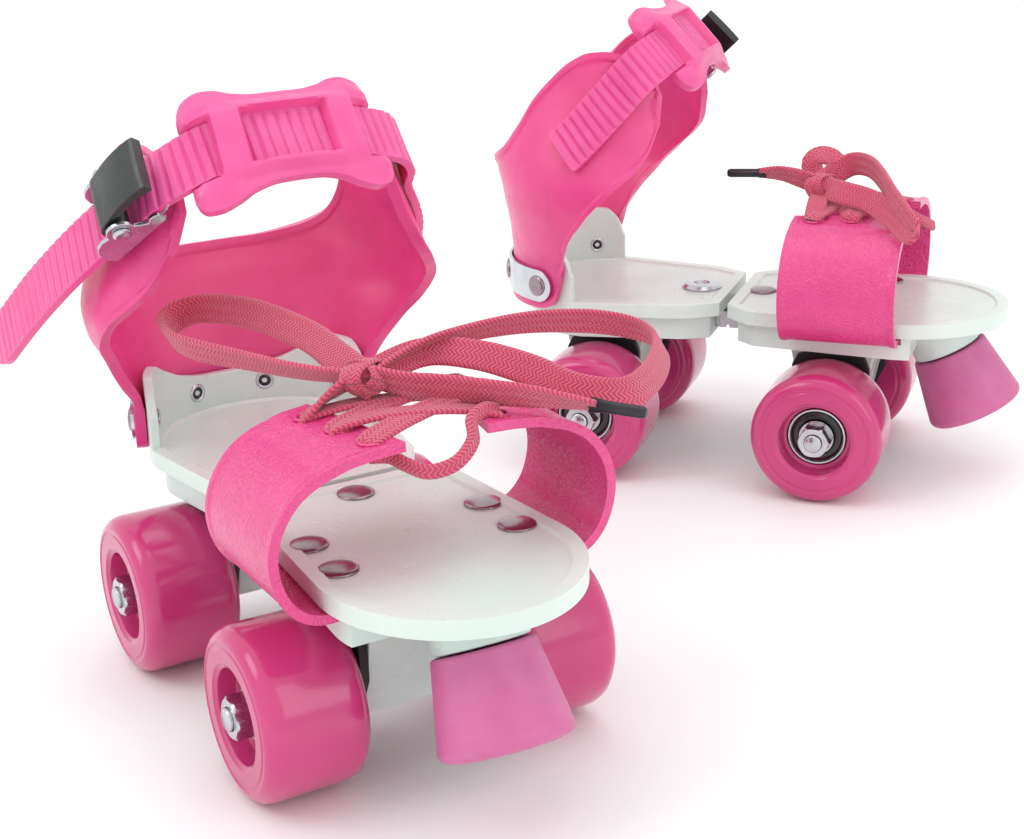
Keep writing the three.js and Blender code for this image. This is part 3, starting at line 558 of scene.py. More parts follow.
def add_laces(side):
    spec = LACES[side]
    knot = np.array(spec["knot"], float)
    for k, points in enumerate(spec["loops"]):
        verts, faces, uv, line, length = ribbon(points, 58 if side == "left" else (35, 62, 62, 35), side == "left")
        loop = build(side, f"lace_loop_{k + 1}", verts, faces, lace_mat, "front_frame", "lace", uv=uv)
    start = hole(HOLES[0], -1, 1.5)
    points = [start, (start + knot) / 2 + (0, 0, 1.5), *[np.array(p, float) for p in spec["tail"]]]
    verts, faces, uv, line, length = ribbon(points, (10, 60, 75, 60, 30), step=1.2)
    tail = build(side, "lace_tail", verts, faces, lace_mat, "front_frame", "lace", ["lace"], uv=uv)
    end, way = line[-1], line[-1] - line[-3]
    tip = turned([(0, -2), (2.1, -2), (2.0, 0), (1.7, 1.5), (1.7, 12), (1.3, 13.2), (0, 13.4)], end, way, 16, False)
    aglet = build(side, "lace_tip", *tip, tip_mat, "front_frame", "lace", bevel=0.2)
    add_knot(side, knot)
    add_lacing(side)


def add_knot(side, knot):
    """The bow's knot: a turn of lace wrapped over the crossing, with a second one beneath it."""
    shapes, uv = [], []
    for turn, tip, radius in ((0.4, 0.2, 6.0), (2.0, -0.5, 5.2)):
        axis = np.array([math.cos(turn) * math.cos(tip), math.sin(turn) * math.cos(tip), math.sin(tip)])
        side_way = np.cross(axis, UP)
        side_way /= np.linalg.norm(side_way)
        top = np.cross(side_way, axis)
        ring = []
        for a in np.linspace(0, 2 * math.pi, 17)[:-1]:
            wobble = radius * (1 + 0.08 * math.sin(3 * a + turn))
            ring.append(knot + wobble * (side_way * math.cos(a) + 0.72 * top * math.sin(a)))
        loop = np.array(ring + ring[:1])
        line = spline(loop, 4)[:-1]
        rings = []
        for i, centre in enumerate(line):
            out = centre - knot
            out /= np.linalg.norm(out)
            for_across = [(-4.2, -0.6), (-3.4, 0.5), (0, 0.95), (3.4, 0.5), (4.2, -0.6), (3.4, -0.9), (-3.4, -0.9)]
            rings.append([centre + axis * x + out * y for x, y in for_across])
            uv += [(i * 0.55, x + 4.5) for x, _ in for_across]
        shapes.append(loft(rings, closed=True))
    core = [(4.6 * math.sin(a), -4.2 * math.cos(a)) for a in np.linspace(0.02, math.pi - 0.02, 12)]
    shapes.append(turned(core, knot, (0.8, 0.5, 0.1), 20, False))
    uv += [(i * 0.4, j * 0.45) for i in range(12) for j in range(20)]
    verts, faces = join(*shapes)
    build(side, "lace_knot", verts, faces, lace_mat, "front_frame", "lace", uv=uv, subdivide=1)


def add_lacing(side):
    rear, centre, front = HOLES
    knot = np.array(LACES[side]["knot"], float)
    pairs = [(hole(rear, 1, 1.5), knot - (0, 0, 3)), (hole(rear, -1, 1.4), hole(centre, 1, 1.4)),
             (hole(rear, 1, 2.9), hole(centre, -1, 1.4)), (hole(centre, -1, 1.8), hole(front, 1, 1.4)),
             (hole(centre, 1, 3.2), hole(front, -1, 1.4))]
    for k, (a, b) in enumerate(pairs):
        sag = np.array([0, 0, 1.6 + 0.7 * (k % 2)])
        way = (b - a) / np.linalg.norm(b - a)
        points = [a - way * 1.5 - (0, 0, 2.6), a, a + (b - a) * 0.3 + sag, a + (b - a) * 0.7 + sag, b,
                  b + way * 1.5 - (0, 0, 2.6)]
        verts, faces, uv, _, _ = ribbon(points, 5, width=7.5)
        build(side, f"lacing_{k + 1}", verts, faces, lace_mat, "front_frame", "lace", uv=uv)
    start, end = hole(front, 1, 1.2), hole(front, -1, -3)
    points = [start + (0, 0, 1), start + (1, -4, 2.2), (24, 9, 104.5), (29.5, 6, 101), (33, -1, 97.5), (31, -8, 96),
              (25, -11.5, 97), end + (1, 5, -0.8), end]
    verts, faces, uv, _, _ = ribbon(points, 60, True, width=4.2, thickness=2.2, step=1.2)
    build(side, "lacing_slack", verts, faces, lace_mat, "front_frame", "lace", uv=uv)


for side in SIDES:
    add_laces(side)


# ---------------------------------------------------------------- soles
def front_outline(inset, limit=None):
    arc = np.linspace(-math.pi / 2, math.pi / 2, 57)
    nose = [(23.5 + (40 - inset) * math.cos(a), (37 - inset) * math.sin(a)) for a in arc]
    corner = [(-31 + 0.4 * inset, -(33 - inset)), (-40.5 + inset, -(25 - 0.4 * inset))]
    points = [corner[1], corner[0], *nose, (corner[0][0], -corner[0][1]), (corner[1][0], -corner[1][1])]
    if limit is not None:
        points = [(min(x, limit), y) for x, y in points]
    return np.array(points)


def rear_outline(inset):
    arc = np.linspace(math.pi / 2, 3 * math.pi / 2, 57)
    heel = [(HEEL_X + (35 - inset) * math.cos(a), (38 - inset) * math.sin(a)) for a in arc]
    corner = [(-44 - inset, 24 - 0.4 * inset), (-56 - 0.4 * inset, 31.5 - inset)]
    return np.array([*corner, *heel, (corner[1][0], -corner[1][1]), (corner[0][0], -corner[0][1])])


def sole_shell(outline, skirt_limit):
    """One skin from the hollow's ceiling, round the skirt and the rim, to the dished top."""
    steps = [
        (6.5, HOLLOW_TOP, -2.5), (6.5, SKIRT_BOTTOM, -2.5), (4, SKIRT_BOTTOM, 0), (4, SOLE_UNDER, 0),
        (0, SOLE_UNDER, None), (0, SOLE_TOP, None), (4.2, SOLE_TOP, None), (5, SOLE_TOP - 0.8, None),
    ]
    rings = []
    for inset, z, limit in steps:
        if skirt_limit is None:
            flat = outline(inset)
        else:
            flat = outline(inset, None if limit is None else skirt_limit + limit)
        rings.append(np.column_stack([flat, np.full(len(flat), float(z))]))
    return loft(rings)


def axle_box(x):
    def section(inset, low, high):
        slope = 9.5 / 33
        def reach(z):
            return 9.5 - inset + slope * (min(z, 53) - 20)
        return [(x - reach(low), low), (x + reach(low), low), (x + reach(high), high), (x - reach(high), high)]
    return (prism(section(0, 20, 63), -20, 20, "xz"), prism(section(2.5, 19, 36), -17.5, 17.5, "xz"),
            block(x - 7.8, x + 7.8, -21, 21, 18, 34.3))


def add_soles(side):
    tunnel = block(-200, -6, -13.3, 13.3, 54.8, 62.0)
    slots = [block(-16.8, 27.8, y0, y1, 58.9, 62.52) for y0, y1 in ((24, 60), (-60, -24))]
    front = build(side, "front_sole", *sole_shell(front_outline, 31), sole_mat, "front_frame", "sole",
                  ["front_plate"], bevel=0.7)
    cut(front, tunnel, *slots)
    rear = build(side, "rear_sole", *sole_shell(rear_outline, None), sole_mat, "rear_frame", "sole", ["rear_plate"],
                 bevel=0.7)
    cut(rear, tunnel)
    for end, x in (("front", 0), ("rear", -WHEELBASE)):
        outer, inner, notch = axle_box(x)
        hood = build(side, f"{end}_axle_box", *outer, sole_mat, f"{end}_frame", "sole", bevel=0.6)
        cut(hood, inner, notch, tunnel)
    add_heel_cup(side)
    add_stop_boss(side)


def add_heel_cup(side):
    """The white wall that stands round the heel, with an ear on each side."""
    top = [(-134, 78), (-130, 79), (-127, 81), (-121, 86), (-114, 90), (-108, 89.5), (-103, 85), (-100.4, 78)]
    angles = np.linspace(-85.0, 85.0, 121)
    columns = []
    for degrees in angles:
        a = math.radians(degrees)
        x, y = HEEL_X - 33.5 * math.cos(a), 36.5 * math.sin(a)
        height = float(ease(top, x))
        columns.append([(x, y, z) for z in np.linspace(66, height, 9)])
    verts, faces = sheet(columns, 1.5, 1.5)
    build(side, "heel_cup", verts, faces, sole_mat, "rear_frame", "sole", bevel=0.8)


TILT = math.radians(27)
STOP_AXIS = np.array([math.sin(TILT), 0, -math.cos(TILT)])
STOP_TOP = np.array([42.0, 0, 49])


def add_stop_boss(side):
    """The white wedge between the sole and the toe stop."""
    arc = np.linspace(0, 2 * math.pi, 41)[:-1]
    sideways = np.array([0.0, 1, 0])
    other = np.cross(STOP_AXIS, sideways)
    rings = []
    for level in (0, 1):
        ring = []
        for a in arc:
            p = STOP_TOP - STOP_AXIS * 0.6 + 13.3 * (sideways * math.cos(a) + other * math.sin(a))
            if level:
                p = p - STOP_AXIS * max(0.5, (63.2 - p[2]) / -STOP_AXIS[2])
            ring.append(p)
        rings.append(ring)
    build(side, "stop_boss", *loft(rings), sole_mat, "front_frame", "sole", bevel=0.6)
    profile = [(0, 0), (14.3, 0), (18.6, 24.6), (17.6, 26.4), (15.4, 27), (0, 27)]
    build(side, "toe_stop_rubber", *turned(profile, STOP_TOP, STOP_AXIS, 72, False), stop_mat, "front_frame", "stop",
          ["toe_stop"], bevel=0.9)


for side in SIDES:
    add_soles(side)


# ---------------------------------------------------------------- running gear
def add_wheel(side, end, flank, x):
    sign = -1 if flank == "outer" else 1
    centre, axis = (x, sign * WHEEL_Y, WHEEL_R), (0, sign, 0)
    half = WHEEL_W / 2
    tread = [(11.4, -half), (19.2, -half), (19.6, -half + 0.35), (20.6, -half + 0.35), (21, -half),
             (22.6, -half + 0.5), (24.2, -half + 2), (24.9, -half + 4), (25, -half + 6.5)]
    tread += [(r, -y) for r, y in reversed(tread[1:])]
    profile = tread + [(15.2, half), (14.6, half - 0.5), (13.7, half - 0.9), (12.7, half - 6.3), (11.4, half - 6.5)]
    body = f"{end}_{flank}_wheel"
    build(side, f"{end}_{flank}_tyre", *turned(profile, centre, axis, 96), wheel_mat, body, "wheel",
          [f"{end}_{flank}_wheel"], bevel=0.25)
    outer, inner = half - 6.5, -half + 2
    races = []
    for face, way in ((outer, 1), (inner, -1)):
        near, far = face, face - way * 7
        races.append([(11, far), (11, near - way * 0.3), (10.8, near), (10.3, near), (10.1, near - way * 0.5),
                      (6.3, near - way * 0.5), (6.0, near - way * 0.1), (5.7, near), (4.1, near), (3.8, near - way * 0.3),
                      (3.8, far)])
    shapes = [turned(profile, centre, axis, 48) for profile in races]
    sleeve = [(3.8, -half + 9), (5.8, -half + 9), (5.8, half - 13.5), (3.8, half - 13.5)]
    shapes.append(turned(sleeve, centre, axis, 32))
    verts, faces = join(*shapes)
    build(side, f"{end}_{flank}_races", verts, faces, steel_mat, body, "steel", [f"{end}_{flank}_bearings"], bevel=0.1)
    shields = []
    for face, way in ((outer, 1), (inner, -1)):
        y = face - way * 0.45
        shields.append(turned([(6.1, y), (6.3, y + way * 0.3), (9.9, y + way * 0.3), (10.05, y)], centre, axis, 48))
    verts, faces = join(*shields)
    build(side, f"{end}_{flank}_shields", verts, faces, shield_mat, body, "steel")


def add_nut(side, end, flank, x):
    """A chamfered hexagon nut on two washers."""
    sign = -1 if flank == "outer" else 1
    corner = 11 / math.sqrt(3)
    rings = []
    for scale, y in ((0.9, 49.7), (1.0, 50.3), (1.0, 55.1), (0.88, 55.8)):
        hexagon = []
        for k in range(6):
            a, b = math.radians(60 * k), math.radians(60 * k + 60)
            for t in np.arange(8) / 8:
                flat = np.array([math.cos(a), math.sin(a)]) * (1 - t) + np.array([math.cos(b), math.sin(b)]) * t
                if scale < 1:
                    flat = flat / np.linalg.norm(flat) * min(np.linalg.norm(flat), scale)
                hexagon.append((x + corner * flat[0], sign * y, WHEEL_R + corner * flat[1]))
        rings.append(hexagon)
    bore = []
    for y in (55.8, 49.7):
        bore.append([(x + 3.5 * math.cos(a), sign * y, WHEEL_R + 3.5 * math.sin(a))
                     for a in np.linspace(0, 2 * math.pi, 49)[:-1]])
    nut = loft(rings + bore, closed=True)
    washers = []
    for low, high, radius in ((48.3, 49.1, 6.6), (49.15, 49.65, 6.0)):
        outline = [(3.5, low), (radius, low), (radius, high), (3.5, high)]
        washers.append(turned(outline, (x, 0, WHEEL_R), (0, sign, 0), 40))
    verts, faces = join(nut, *washers)
    build(side, f"{end}_{flank}_hexnut", verts, faces, steel_mat, f"{end}_frame", "steel", [f"{end}_{flank}_nut"],
          bevel=0.12)


def add_axle(side, end, x):
    """The axle rod, threaded at both ends."""
    threads = [(3.45 if k % 2 else 3.15, 45 + 0.5 * k) for k in range(24)]
    profile = [(0, -57), (2.9, -57)] + [(r, -y) for r, y in reversed(threads)] + threads + [(2.9, 57), (0, 57)]
    build(side, f"{end}_axle_rod", *turned(profile, (x, 0, WHEEL_R), (0, 1, 0), 32, False), steel_mat, f"{end}_frame",
          "steel", [f"{end}_axle"])


def add_carrier(side, end, x):
    arch = [(x + 7.5 * math.cos(a), 25 + 7.5 * math.sin(a)) for a in np.linspace(math.pi, 2 * math.pi, 21)]
    arch += [(x + 7.5, 34), (x - 7.5, 34)]
    cheek = [(x - 7.5, 17.5), (x + 7.5, 17.5), (x + 15, 33), (x + 15, 45), (x + 13, 49), (x + 10, 50),
             (x - 10, 50), (x - 13, 49), (x - 15, 45), (x - 15, 33)]
    rib = [(x - 11, 34), (x + 11, 34), (x + 9, 47), (x - 9, 47)]
    shapes = [prism(arch, -22, 22, "xz"), prism(cheek, 20.4, 23.2, "xz"), prism(cheek, -23.2, -20.4, "xz")]
    shapes += [prism(rib, 22.9, 23.45, "xz"), prism(rib, -23.45, -22.9, "xz")]
    verts, faces = join(*shapes)
    build(side, f"{end}_carrier_block", verts, faces, carrier_mat, f"{end}_frame", "carrier", [f"{end}_carrier"],
          bevel=0.5)


for side in SIDES:
    for end, x in (("front", 0), ("rear", -WHEELBASE)):
        add_axle(side, end, x)
        add_carrier(side, end, x)
        for flank in ("outer", "inner"):
            add_wheel(side, end, flank, x)
            add_nut(side, end, flank, x)
    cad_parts[f"{side}_slide_bar"].data.materials.clear()
    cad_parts[f"{side}_slide_bar"].data.materials.append(steel_mat)


# ---------------------------------------------------------------- rivets and the clamp bolt
def dome(radius, height, rim=0.5):
    curve = [(radius * math.cos(a), rim + (height - rim) * math.sin(a)) for a in np.linspace(0.05, math.pi / 2, 9)]
    return [(0, 0), (radius, 0)] + curve[:-1] + [(0, height)]


def add_heads(side, name, body, spots, radius, height):
    """Domed heads. Each spot is a point and the way its head faces."""
    shapes = [turned(dome(radius, height), point, way, 32, False) for point, way in spots]
    verts, faces = join(*shapes)
    build(side, name, verts, faces, rivet_pink_reflection_mat, body, "steel", bevel=0.1)


def add_rivets(side):
    up = (0, 0, 1)
    on_sole = [((x, y, SOLE_TOP - 0.85), up) for x in (14.3, -4.9) for y in (27.2, -27.2)]
    on_sole.append(((-32, 0, SOLE_TOP - 0.85), up))
    add_heads(side, "sole_rivets", "front_frame", on_sole, 5.6, 1.4)
    collar = turned([(0, 0), (8, 0), (8, 0.5), (6.8, 1.7), (3.2, 2.0), (3.0, 1.2), (0, 1.2)],
                    (-57, 0, SOLE_TOP - 0.75), up, 48, False)
    flats = [(-57 + 7.2 * math.cos(a), 7.2 * math.sin(a)) for a in np.linspace(0, 2 * math.pi, 7)[:-1]]
    shank = turned([(0, 50.5), (3.4, 50.5), (3.4, 68), (0, 68)], (-57, 0, 0), up, 24, False)
    verts, faces = join(collar, shank, prism(flats, 52.9, 58.9))
    build(side, "clamp_bolt_head", verts, faces, steel_mat, "rear_frame", "steel", ["clamp_bolt"], bevel=0.2)
    outside, inside = [], []
    for degrees in (-64, -20, 20, 64):
        a = math.radians(degrees)
        way = np.array([-math.cos(a) / 35, math.sin(a) / 38, 0])
        way /= np.linalg.norm(way)
        outside.append(((HEEL_X - 39.6 * math.cos(a), 42.6 * math.sin(a), 74), way))
        inside.append(((HEEL_X - 32.1 * math.cos(a), 35.1 * math.sin(a), 74), -way))
    add_heads(side, "heel_rivets", "rear_frame", outside, 4.2, 1.7)
    rings = [turned([(1.9, -0.6), (3.1, -0.3), (3.1, 0.2), (2.8, 0.6), (2.2, 0.6), (1.9, 0.2)], p, way, 32)
             for p, way in inside]
    verts, faces = join(*rings)
    build(side, "heel_rivet_rings", verts, faces, steel_mat, "rear_frame", "steel")
    # Black discs in the bearing-shield material fill the hollow rivet ends: painted shade where the bores are dark.
    bore_shade_profile = [(0, -0.5), (2.0, -0.5), (2.0, 0.25), (0.8, 0.1), (0, 0.1)]
    bore_shade_discs = [turned(bore_shade_profile, p, way, 24, False) for p, way in inside]
    verts, faces = join(*bore_shade_discs)
    build(side, "heel_rivet_bores", verts, faces, shield_mat, "rear_frame", "steel")


for side in SIDES:
    add_rivets(side)


# ---------------------------------------------------------------- ankle cuff
CUFF_HALF = [(64, FOOT_HALF), (82, FOOT_HALF), (90, 44), (100, 49), (108, 53), (115, 54), (122, 52.5), (130, 49.5),
             (138, 46.2), (146, 43.3), (155, 40.5), (168, 38)]
CUFF_BACK = [(64, FOOT_BACK), (90, FOOT_BACK), (110, 39), (124, 42), (168, 42)]
STATIONS = [
    (0, 0, 66.5, 121.5), (16, 0, 66, 121.8), (32, 0, 65, 124), (46, 0, 64.5, 128.5), (58, 0, 64.5, 137),
    (68, 0, 65.2, 147.5), (74, 0, 67, 152.5), (78, 0, 73, 155.5), (82, 0, 86, 158.5), (90, 0, 96.5, 163),
    (90, 6, 104, 165.5), (90, 12, 110.5, 166), (90, 18, 116, 164.7), (90, 24, 121.5, 161.7), (90, 28.5, 127.5, 156),
    (90, 31.5, 139, 149),
]
WING_BEND_FROM, WING_BEND = 7, 0.016


def cuff_lean(reach):
    return WING_BEND * np.maximum(0, reach - WING_BEND_FROM) ** 2


def cuff_middle(turn, reach, z, sign):
    a = np.radians(turn)
    x = HEEL_X + reach - ease(CUFF_BACK, z) * np.cos(a)
    y = ease(CUFF_HALF, z) * np.sin(a) - cuff_lean(reach)
    return np.stack([x, sign * y, z], -1)


def cuff_outside(x, z):
    return np.interp(z, *zip(*CUFF_HALF)) - cuff_lean(x - HEEL_X) + CUFF_T / 2


def add_cuff(side):
    steps = [max(0.6 * (b[0] - a[0]), b[1] - a[1]) for a, b in zip(STATIONS, STATIONS[1:])]
    place = np.concatenate([[0], np.cumsum(steps)])
    fine = np.linspace(0, place[-1], 110)
    turn = np.interp(fine, place, [s[0] for s in STATIONS])
    reach = np.interp(fine, place, [s[1] for s in STATIONS])
    low = ease(list(zip(place, [s[2] for s in STATIONS])), fine)
    high = ease(list(zip(place, [s[3] for s in STATIONS])), fine)
    rows = np.concatenate([[0, 0.012, 0.024, 0.036, 0.05, 0.065], np.linspace(0.08, 0.92, 34),
                           [0.935, 0.95, 0.964, 0.976, 0.988, 1]])
    columns = []
    for sign, order in ((-1, range(len(fine) - 1, 0, -1)), (1, range(len(fine)))):
        for i in order:
            z = low[i] + (high[i] - low[i]) * rows
            columns.append(cuff_middle(turn[i], reach[i], z, sign))
    grid = np.array(columns)
    from_edge = edge_distance(grid)
    bead = 0.8 * (1 - smooth_step(from_edge, 2.4, 3.6))
    skin = CUFF_T / 2 - 0.4 + bead
    build(side, "cuff_shell", *sheet(grid, skin, skin), cuff_mat, "rear_frame", "strap", ["cuff"], bevel=0.7)


def smooth_step(value, start, end):
    t = np.clip((value - start) / (end - start), 0, 1)
    return t * t * (3 - 2 * t)


def edge_distance(grid):
    """Distance from each point of a grid to its border, measured along rows and columns."""
    down = np.linalg.norm(np.diff(grid, axis=1), axis=2)
    low = np.concatenate([np.zeros((len(grid), 1)), np.cumsum(down, axis=1)], 1)
    along = np.linalg.norm(np.diff(grid, axis=0), axis=2)
    start = np.concatenate([np.zeros((1, grid.shape[1])), np.cumsum(along, axis=0)], 0)
    return np.minimum.reduce([low, low[:, -1:] - low, start, start[-1:] - start])


def add_heel_band(side):
    columns = []
    stand = CUFF_T / 2 + 0.9
    for degrees in np.linspace(-74, 74, 141):
        a = math.radians(degrees)
        left_over = (74 - abs(degrees)) * 0.68
        half = 6.5 * math.sqrt(max(0.02, 1 - max(0, 1 - left_over / 6.5) ** 2))
        x, y = HEEL_X - (FOOT_BACK + stand) * math.cos(a), (FOOT_HALF + stand) * math.sin(a)
        columns.append([(x, y, 74 + half * t) for t in np.linspace(-1, 1, 7)])
    build(side, "heel_strip", *sheet(columns, 0.6, 0.6), steel_mat, "rear_frame", "steel", ["heel_band"], bevel=0.25)


for side in SIDES:
    add_cuff(side)
    add_heel_band(side)


# ---------------------------------------------------------------- ladder strap
BUCKLE_AT, BUCKLE_SIDE, BUCKLE_SLOPE, BUCKLE_LEAN = 24, 48, 0.5, 0.12
BUCKLED = [(BUCKLE_AT - s, -(BUCKLE_SIDE + BUCKLE_SLOPE * s), -BUCKLE_LEAN, 0) for s in (-16, -8, 0, 6.5, 13)]
# (u, y, lean, rise); a station without y rests on the cuff
STRAP = [
    (-2, None, 0, 0), (8, None, 0, 0.6), (18, None, 0, 1.8), (27, None, 0, 3.2), (34.5, 41.2, 0, 4.1),
    (40.5, 36.2, 0, 4.6), (44.4, 28, 0, 4.6), (47.2, 19, 0, 4.6), (49, 10, 0, 4.6), (49.6, 0, 0, 4.6),
    (49, -10, 0, 4.6), (47.2, -19, 0, 4.6), (44.6, -28, 0, 3.4),
    *BUCKLED,
    (0, -59.3, -0.12, 0), (-16, -65, -0.1, 0), (-34, -70, -0.1, 0), (-50, -73.5, -0.1, 0),
]


def strap_point(station, w):
    u, y, lean, rise = station
    point = ANKLE + U * u + W * (w - rise)
    if y is None:
        point[1] = cuff_outside(point[0], point[2]) + STRAP_LIFT + STRAP_T / 2
    else:
        point[1] = y + lean * w
    return point


def strap_grid(stations, widths, step):
    """Points along the strap for each place across it; every line has the same count."""
    lines = [spline([strap_point(s, w) for s in stations], 12) for w in widths]
    centre = lines[len(lines) // 2]
    run = np.concatenate([[0], np.cumsum(np.linalg.norm(np.diff(centre, axis=0), axis=1))])
    at = np.linspace(0, run[-1], int(run[-1] / step) + 1)
    grid = np.stack([np.stack([np.interp(at, run, line[:, k]) for k in range(3)], 1) for line in lines], 1)
    return grid, at


def ridges(run, pitch=3.6, depth=0.9, groove=0.5):
    """Rounded bars across a strap, with a narrow groove between."""
    off = np.abs((run / pitch) % 1 - 0.5) * pitch
    from_groove = pitch / 2 - off
    return -depth * np.exp(-((from_groove / groove) ** 2))


def add_ladder_strap(side):
    widths = np.linspace(-STRAP_W / 2, STRAP_W / 2, 13)
    grid, run = strap_grid(STRAP, widths, 0.45)
    # the tail is rounded, and the anchored end is cut square with eased corners
    centre = grid[:, 6:7]
    for i, s in enumerate(run):
        tail = math.sqrt(max(0.04, 1 - max(0, 1 - (run[-1] - s) * 0.75 / 8.5) ** 2))
        share = min(tail, 0.86 + 0.14 * math.sqrt(1 - max(0, 1 - s / 1.6) ** 2))
        grid[i] = centre[i] + (grid[i] - centre[i]) * share
    border = np.minimum(1, (STRAP_W / 2 - np.abs(widths)) / 1.2)[None, :]
    fade = smooth_step(run, 1, 2) * smooth_step(run[-1] - run, 6, 9)
    bars = (ridges(run) * fade)[:, None] * (0.35 + 0.65 * border)
    above = STRAP_T / 2 + 0.25 + bars
    build(side, "ladder_strap_ridged", *sheet(grid, STRAP_T / 2, above), strap_mat, "rear_frame", "strap",
          ["ladder_strap"], bevel=0.35)


# ---------------------------------------------------------------- ankle pad
def add_ankle_pad(side):
    """A moulded saddle: two lobed ends, a waist, and a window that shows the strap passing through."""
    stations = STRAP[5:14]
    shares = np.concatenate([np.linspace(-1, -0.8, 6), np.linspace(-0.76, 0.76, 36), np.linspace(0.8, 1, 6)])
    base, run = strap_grid(stations, [0.0], 0.7)
    ahead, _ = strap_grid(stations, [1.0], 0.7)
    keep = np.abs(base[:, 0, 1]) <= 30.5
    base, ahead = base[keep][:, 0], ahead[keep][:, 0]
    down = ahead - base
    down /= np.linalg.norm(down, axis=1, keepdims=True)
    count = len(base)
    place = np.linspace(-1, 1, count)
    lobe = [(0, 14.2), (0.2, 14.3), (0.42, 15.6), (0.6, 18.0), (0.75, 18.9), (0.9, 17.8), (0.97, 15.4), (1, 12.0)]
    half = ease(lobe, np.abs(place))
    grid = base[:, None, :] + down[:, None, :] * (shares[None, :, None] * half[:, None, None])
    s = np.array([np.sum(np.linalg.norm(np.diff(base[: i + 1], axis=0), axis=1)) for i in range(count)])
    along = (s - s[-1] / 2)[:, None]
    across = shares[None, :] * half[:, None]
    edge = edge_distance(grid)
    crown = smooth_step(edge, 0, 6)
    cover = (1 - smooth_step(np.abs(along), 21.2, 22.6)) * (1 - smooth_step(np.abs(across), 8.8, 13.5))
    window = (1 - smooth_step(np.abs(along), 11.8, 13.2)) * (1 - smooth_step(np.abs(across), 7.9, 9.1))
    channel = 1 - smooth_step(np.abs(across), 8.8, 9.8)
    above = 1.3 + 1.9 * crown + 1.5 * cover
    above = above * (1 - channel * (1 - cover)) + 0.2 * channel * (1 - cover)
    above = above * (1 - window) + 0.1 * window
    below = 1.6 + 1.9 * crown
    pad = build(side, "ankle_pad_moulded", *sheet(grid, below, above), strap_mat, "rear_frame", "strap", ["ankle_pad"],
                bevel=0.6)


# ---------------------------------------------------------------- buckle
def buckle_axes():
    origin = ANKLE + U * BUCKLE_AT + np.array([0, -BUCKLE_SIDE, 0])
    t = U + np.array([0, BUCKLE_SLOPE, 0])
    t /= np.linalg.norm(t)
    n = np.cross(W - np.array([0, BUCKLE_LEAN, 0]), t)
    n /= np.linalg.norm(n)
    return origin, t, n, np.cross(t, n)


def in_buckle(shape):
    """A shape drawn in (along the strap, out, across) taken to the buckle's place."""
    origin, t, n, w = buckle_axes()
    verts, faces = shape
    return [origin + t * a + n * b + w * c for a, b, c in verts], faces


def across_prism(outline, low, high):
    rings = [[(a, b, level) for a, b in outline] for level in (low, high)]
    return loft(rings)


PIN = (6.0, 5.0)


def add_buckle(side):
    floor = -STRAP_T / 2 - 0.5
    base = [(-7, floor - 1.2), (16, floor - 1.2), (16, floor), (-7, floor)]
    tip = [(15.5, floor - 1.2), (15.5, floor), (18, floor + 0.1), (19.6, floor + 0.8), (20.0, floor - 0.1), (18.2, floor - 1.1)]
    tail = [(-14, floor - 0.9), (-6.5, floor - 1.1), (-6.5, floor - 0.1), (-14, floor + 0.1)]
    head = [(PIN[0] + 4.4 * math.cos(a), PIN[1] + 4.4 * math.sin(a)) for a in np.linspace(-0.3, 2.75, 33)]
    cheek = [(-6.2, floor - 1.2), (16.2, floor - 1.2), (17.4, floor - 0.4), (17.3, 0.6), (16.2, 1.5), (14.4, 1.7), (12.7, 0.7),
             (11.5, 2.0), *head, (-0.6, 7.2), (-3.6, 6.4), (-5.8, 4.6), (-7.2, 2.0), (-7.4, -0.6)]
    shapes = [across_prism(base, -10.1, 10.1), across_prism(cheek, -10.2, -9), across_prism(cheek, 9, 10.2)]
    shapes += [across_prism(tip, -8, 8), across_prism(tail, -6, 6)]
    verts, faces = in_buckle(join(*shapes))
    build(side, "buckle_cheeks", verts, faces, steel_mat, "rear_frame", "steel", ["buckle_frame"], bevel=0.3)
    head = [(0, -11.6), (1.9, -11.5), (2.7, -10.9), (2.7, -10.3), (1.6, -10.2)]
    profile = head + [(r, -w) for r, w in reversed(head)]
    verts, faces = in_buckle(turned(profile, (*PIN, 0), (0, 0, 1), 32, False))
    build(side, "buckle_pin", verts, faces, steel_mat, "rear_frame", "steel", bevel=0.15)
    add_lever(side)


def add_lever(side):
    """A black plate that curls over the pin, with a thick free end."""
    top = spline([(0.6, 5.2), (1.0, 7.6), (2.8, 9.3), (6, 10.1), (12, 11.3), (18, 11.8), (23, 11.5), (25, 10.9)], 8)
    under = spline([(24.6, 7.7), (20, 8.7), (14, 8.8), (8.6, 7.6), (6, 5.2), (3.4, 4.9)], 6)
    outline = [tuple(p) for p in top] + [tuple(p) for p in under]
    rings = []
    for c in np.linspace(-8.3, 8.3, 13):
        crown = 0.35 * (1 - (c / 8.3) ** 2)
        rings.append([(a, b + (crown if b > 9 and a > 1.5 else 0), c) for a, b in outline])
    hub = turned([(2.0, -8.2), (2.9, -8.2), (2.9, 8.2), (2.0, 8.2)], (*PIN, 0), (0, 0, 1), 32)
    verts, faces = in_buckle(join(loft(rings), hub))
    build(side, "lever_plate", verts, faces, lever_mat, "buckle_lever", "lever", ["buckle_lever"], bevel=0.5)


for side in SIDES:
    add_ladder_strap(side)
    add_ankle_pad(side)
    add_buckle(side)


# ---------------------------------------------------------------- toe straps
TOE_SECTION = [(21, 60.5), (30, 60.5), (38, 60.7), (43.5, 63.1), (47.6, 68), (49.9, 75), (49.9, 82), (47.2, 89),
               (42.3, 94.8), (35.5, 98.7), (28, 101), (20, 102)]


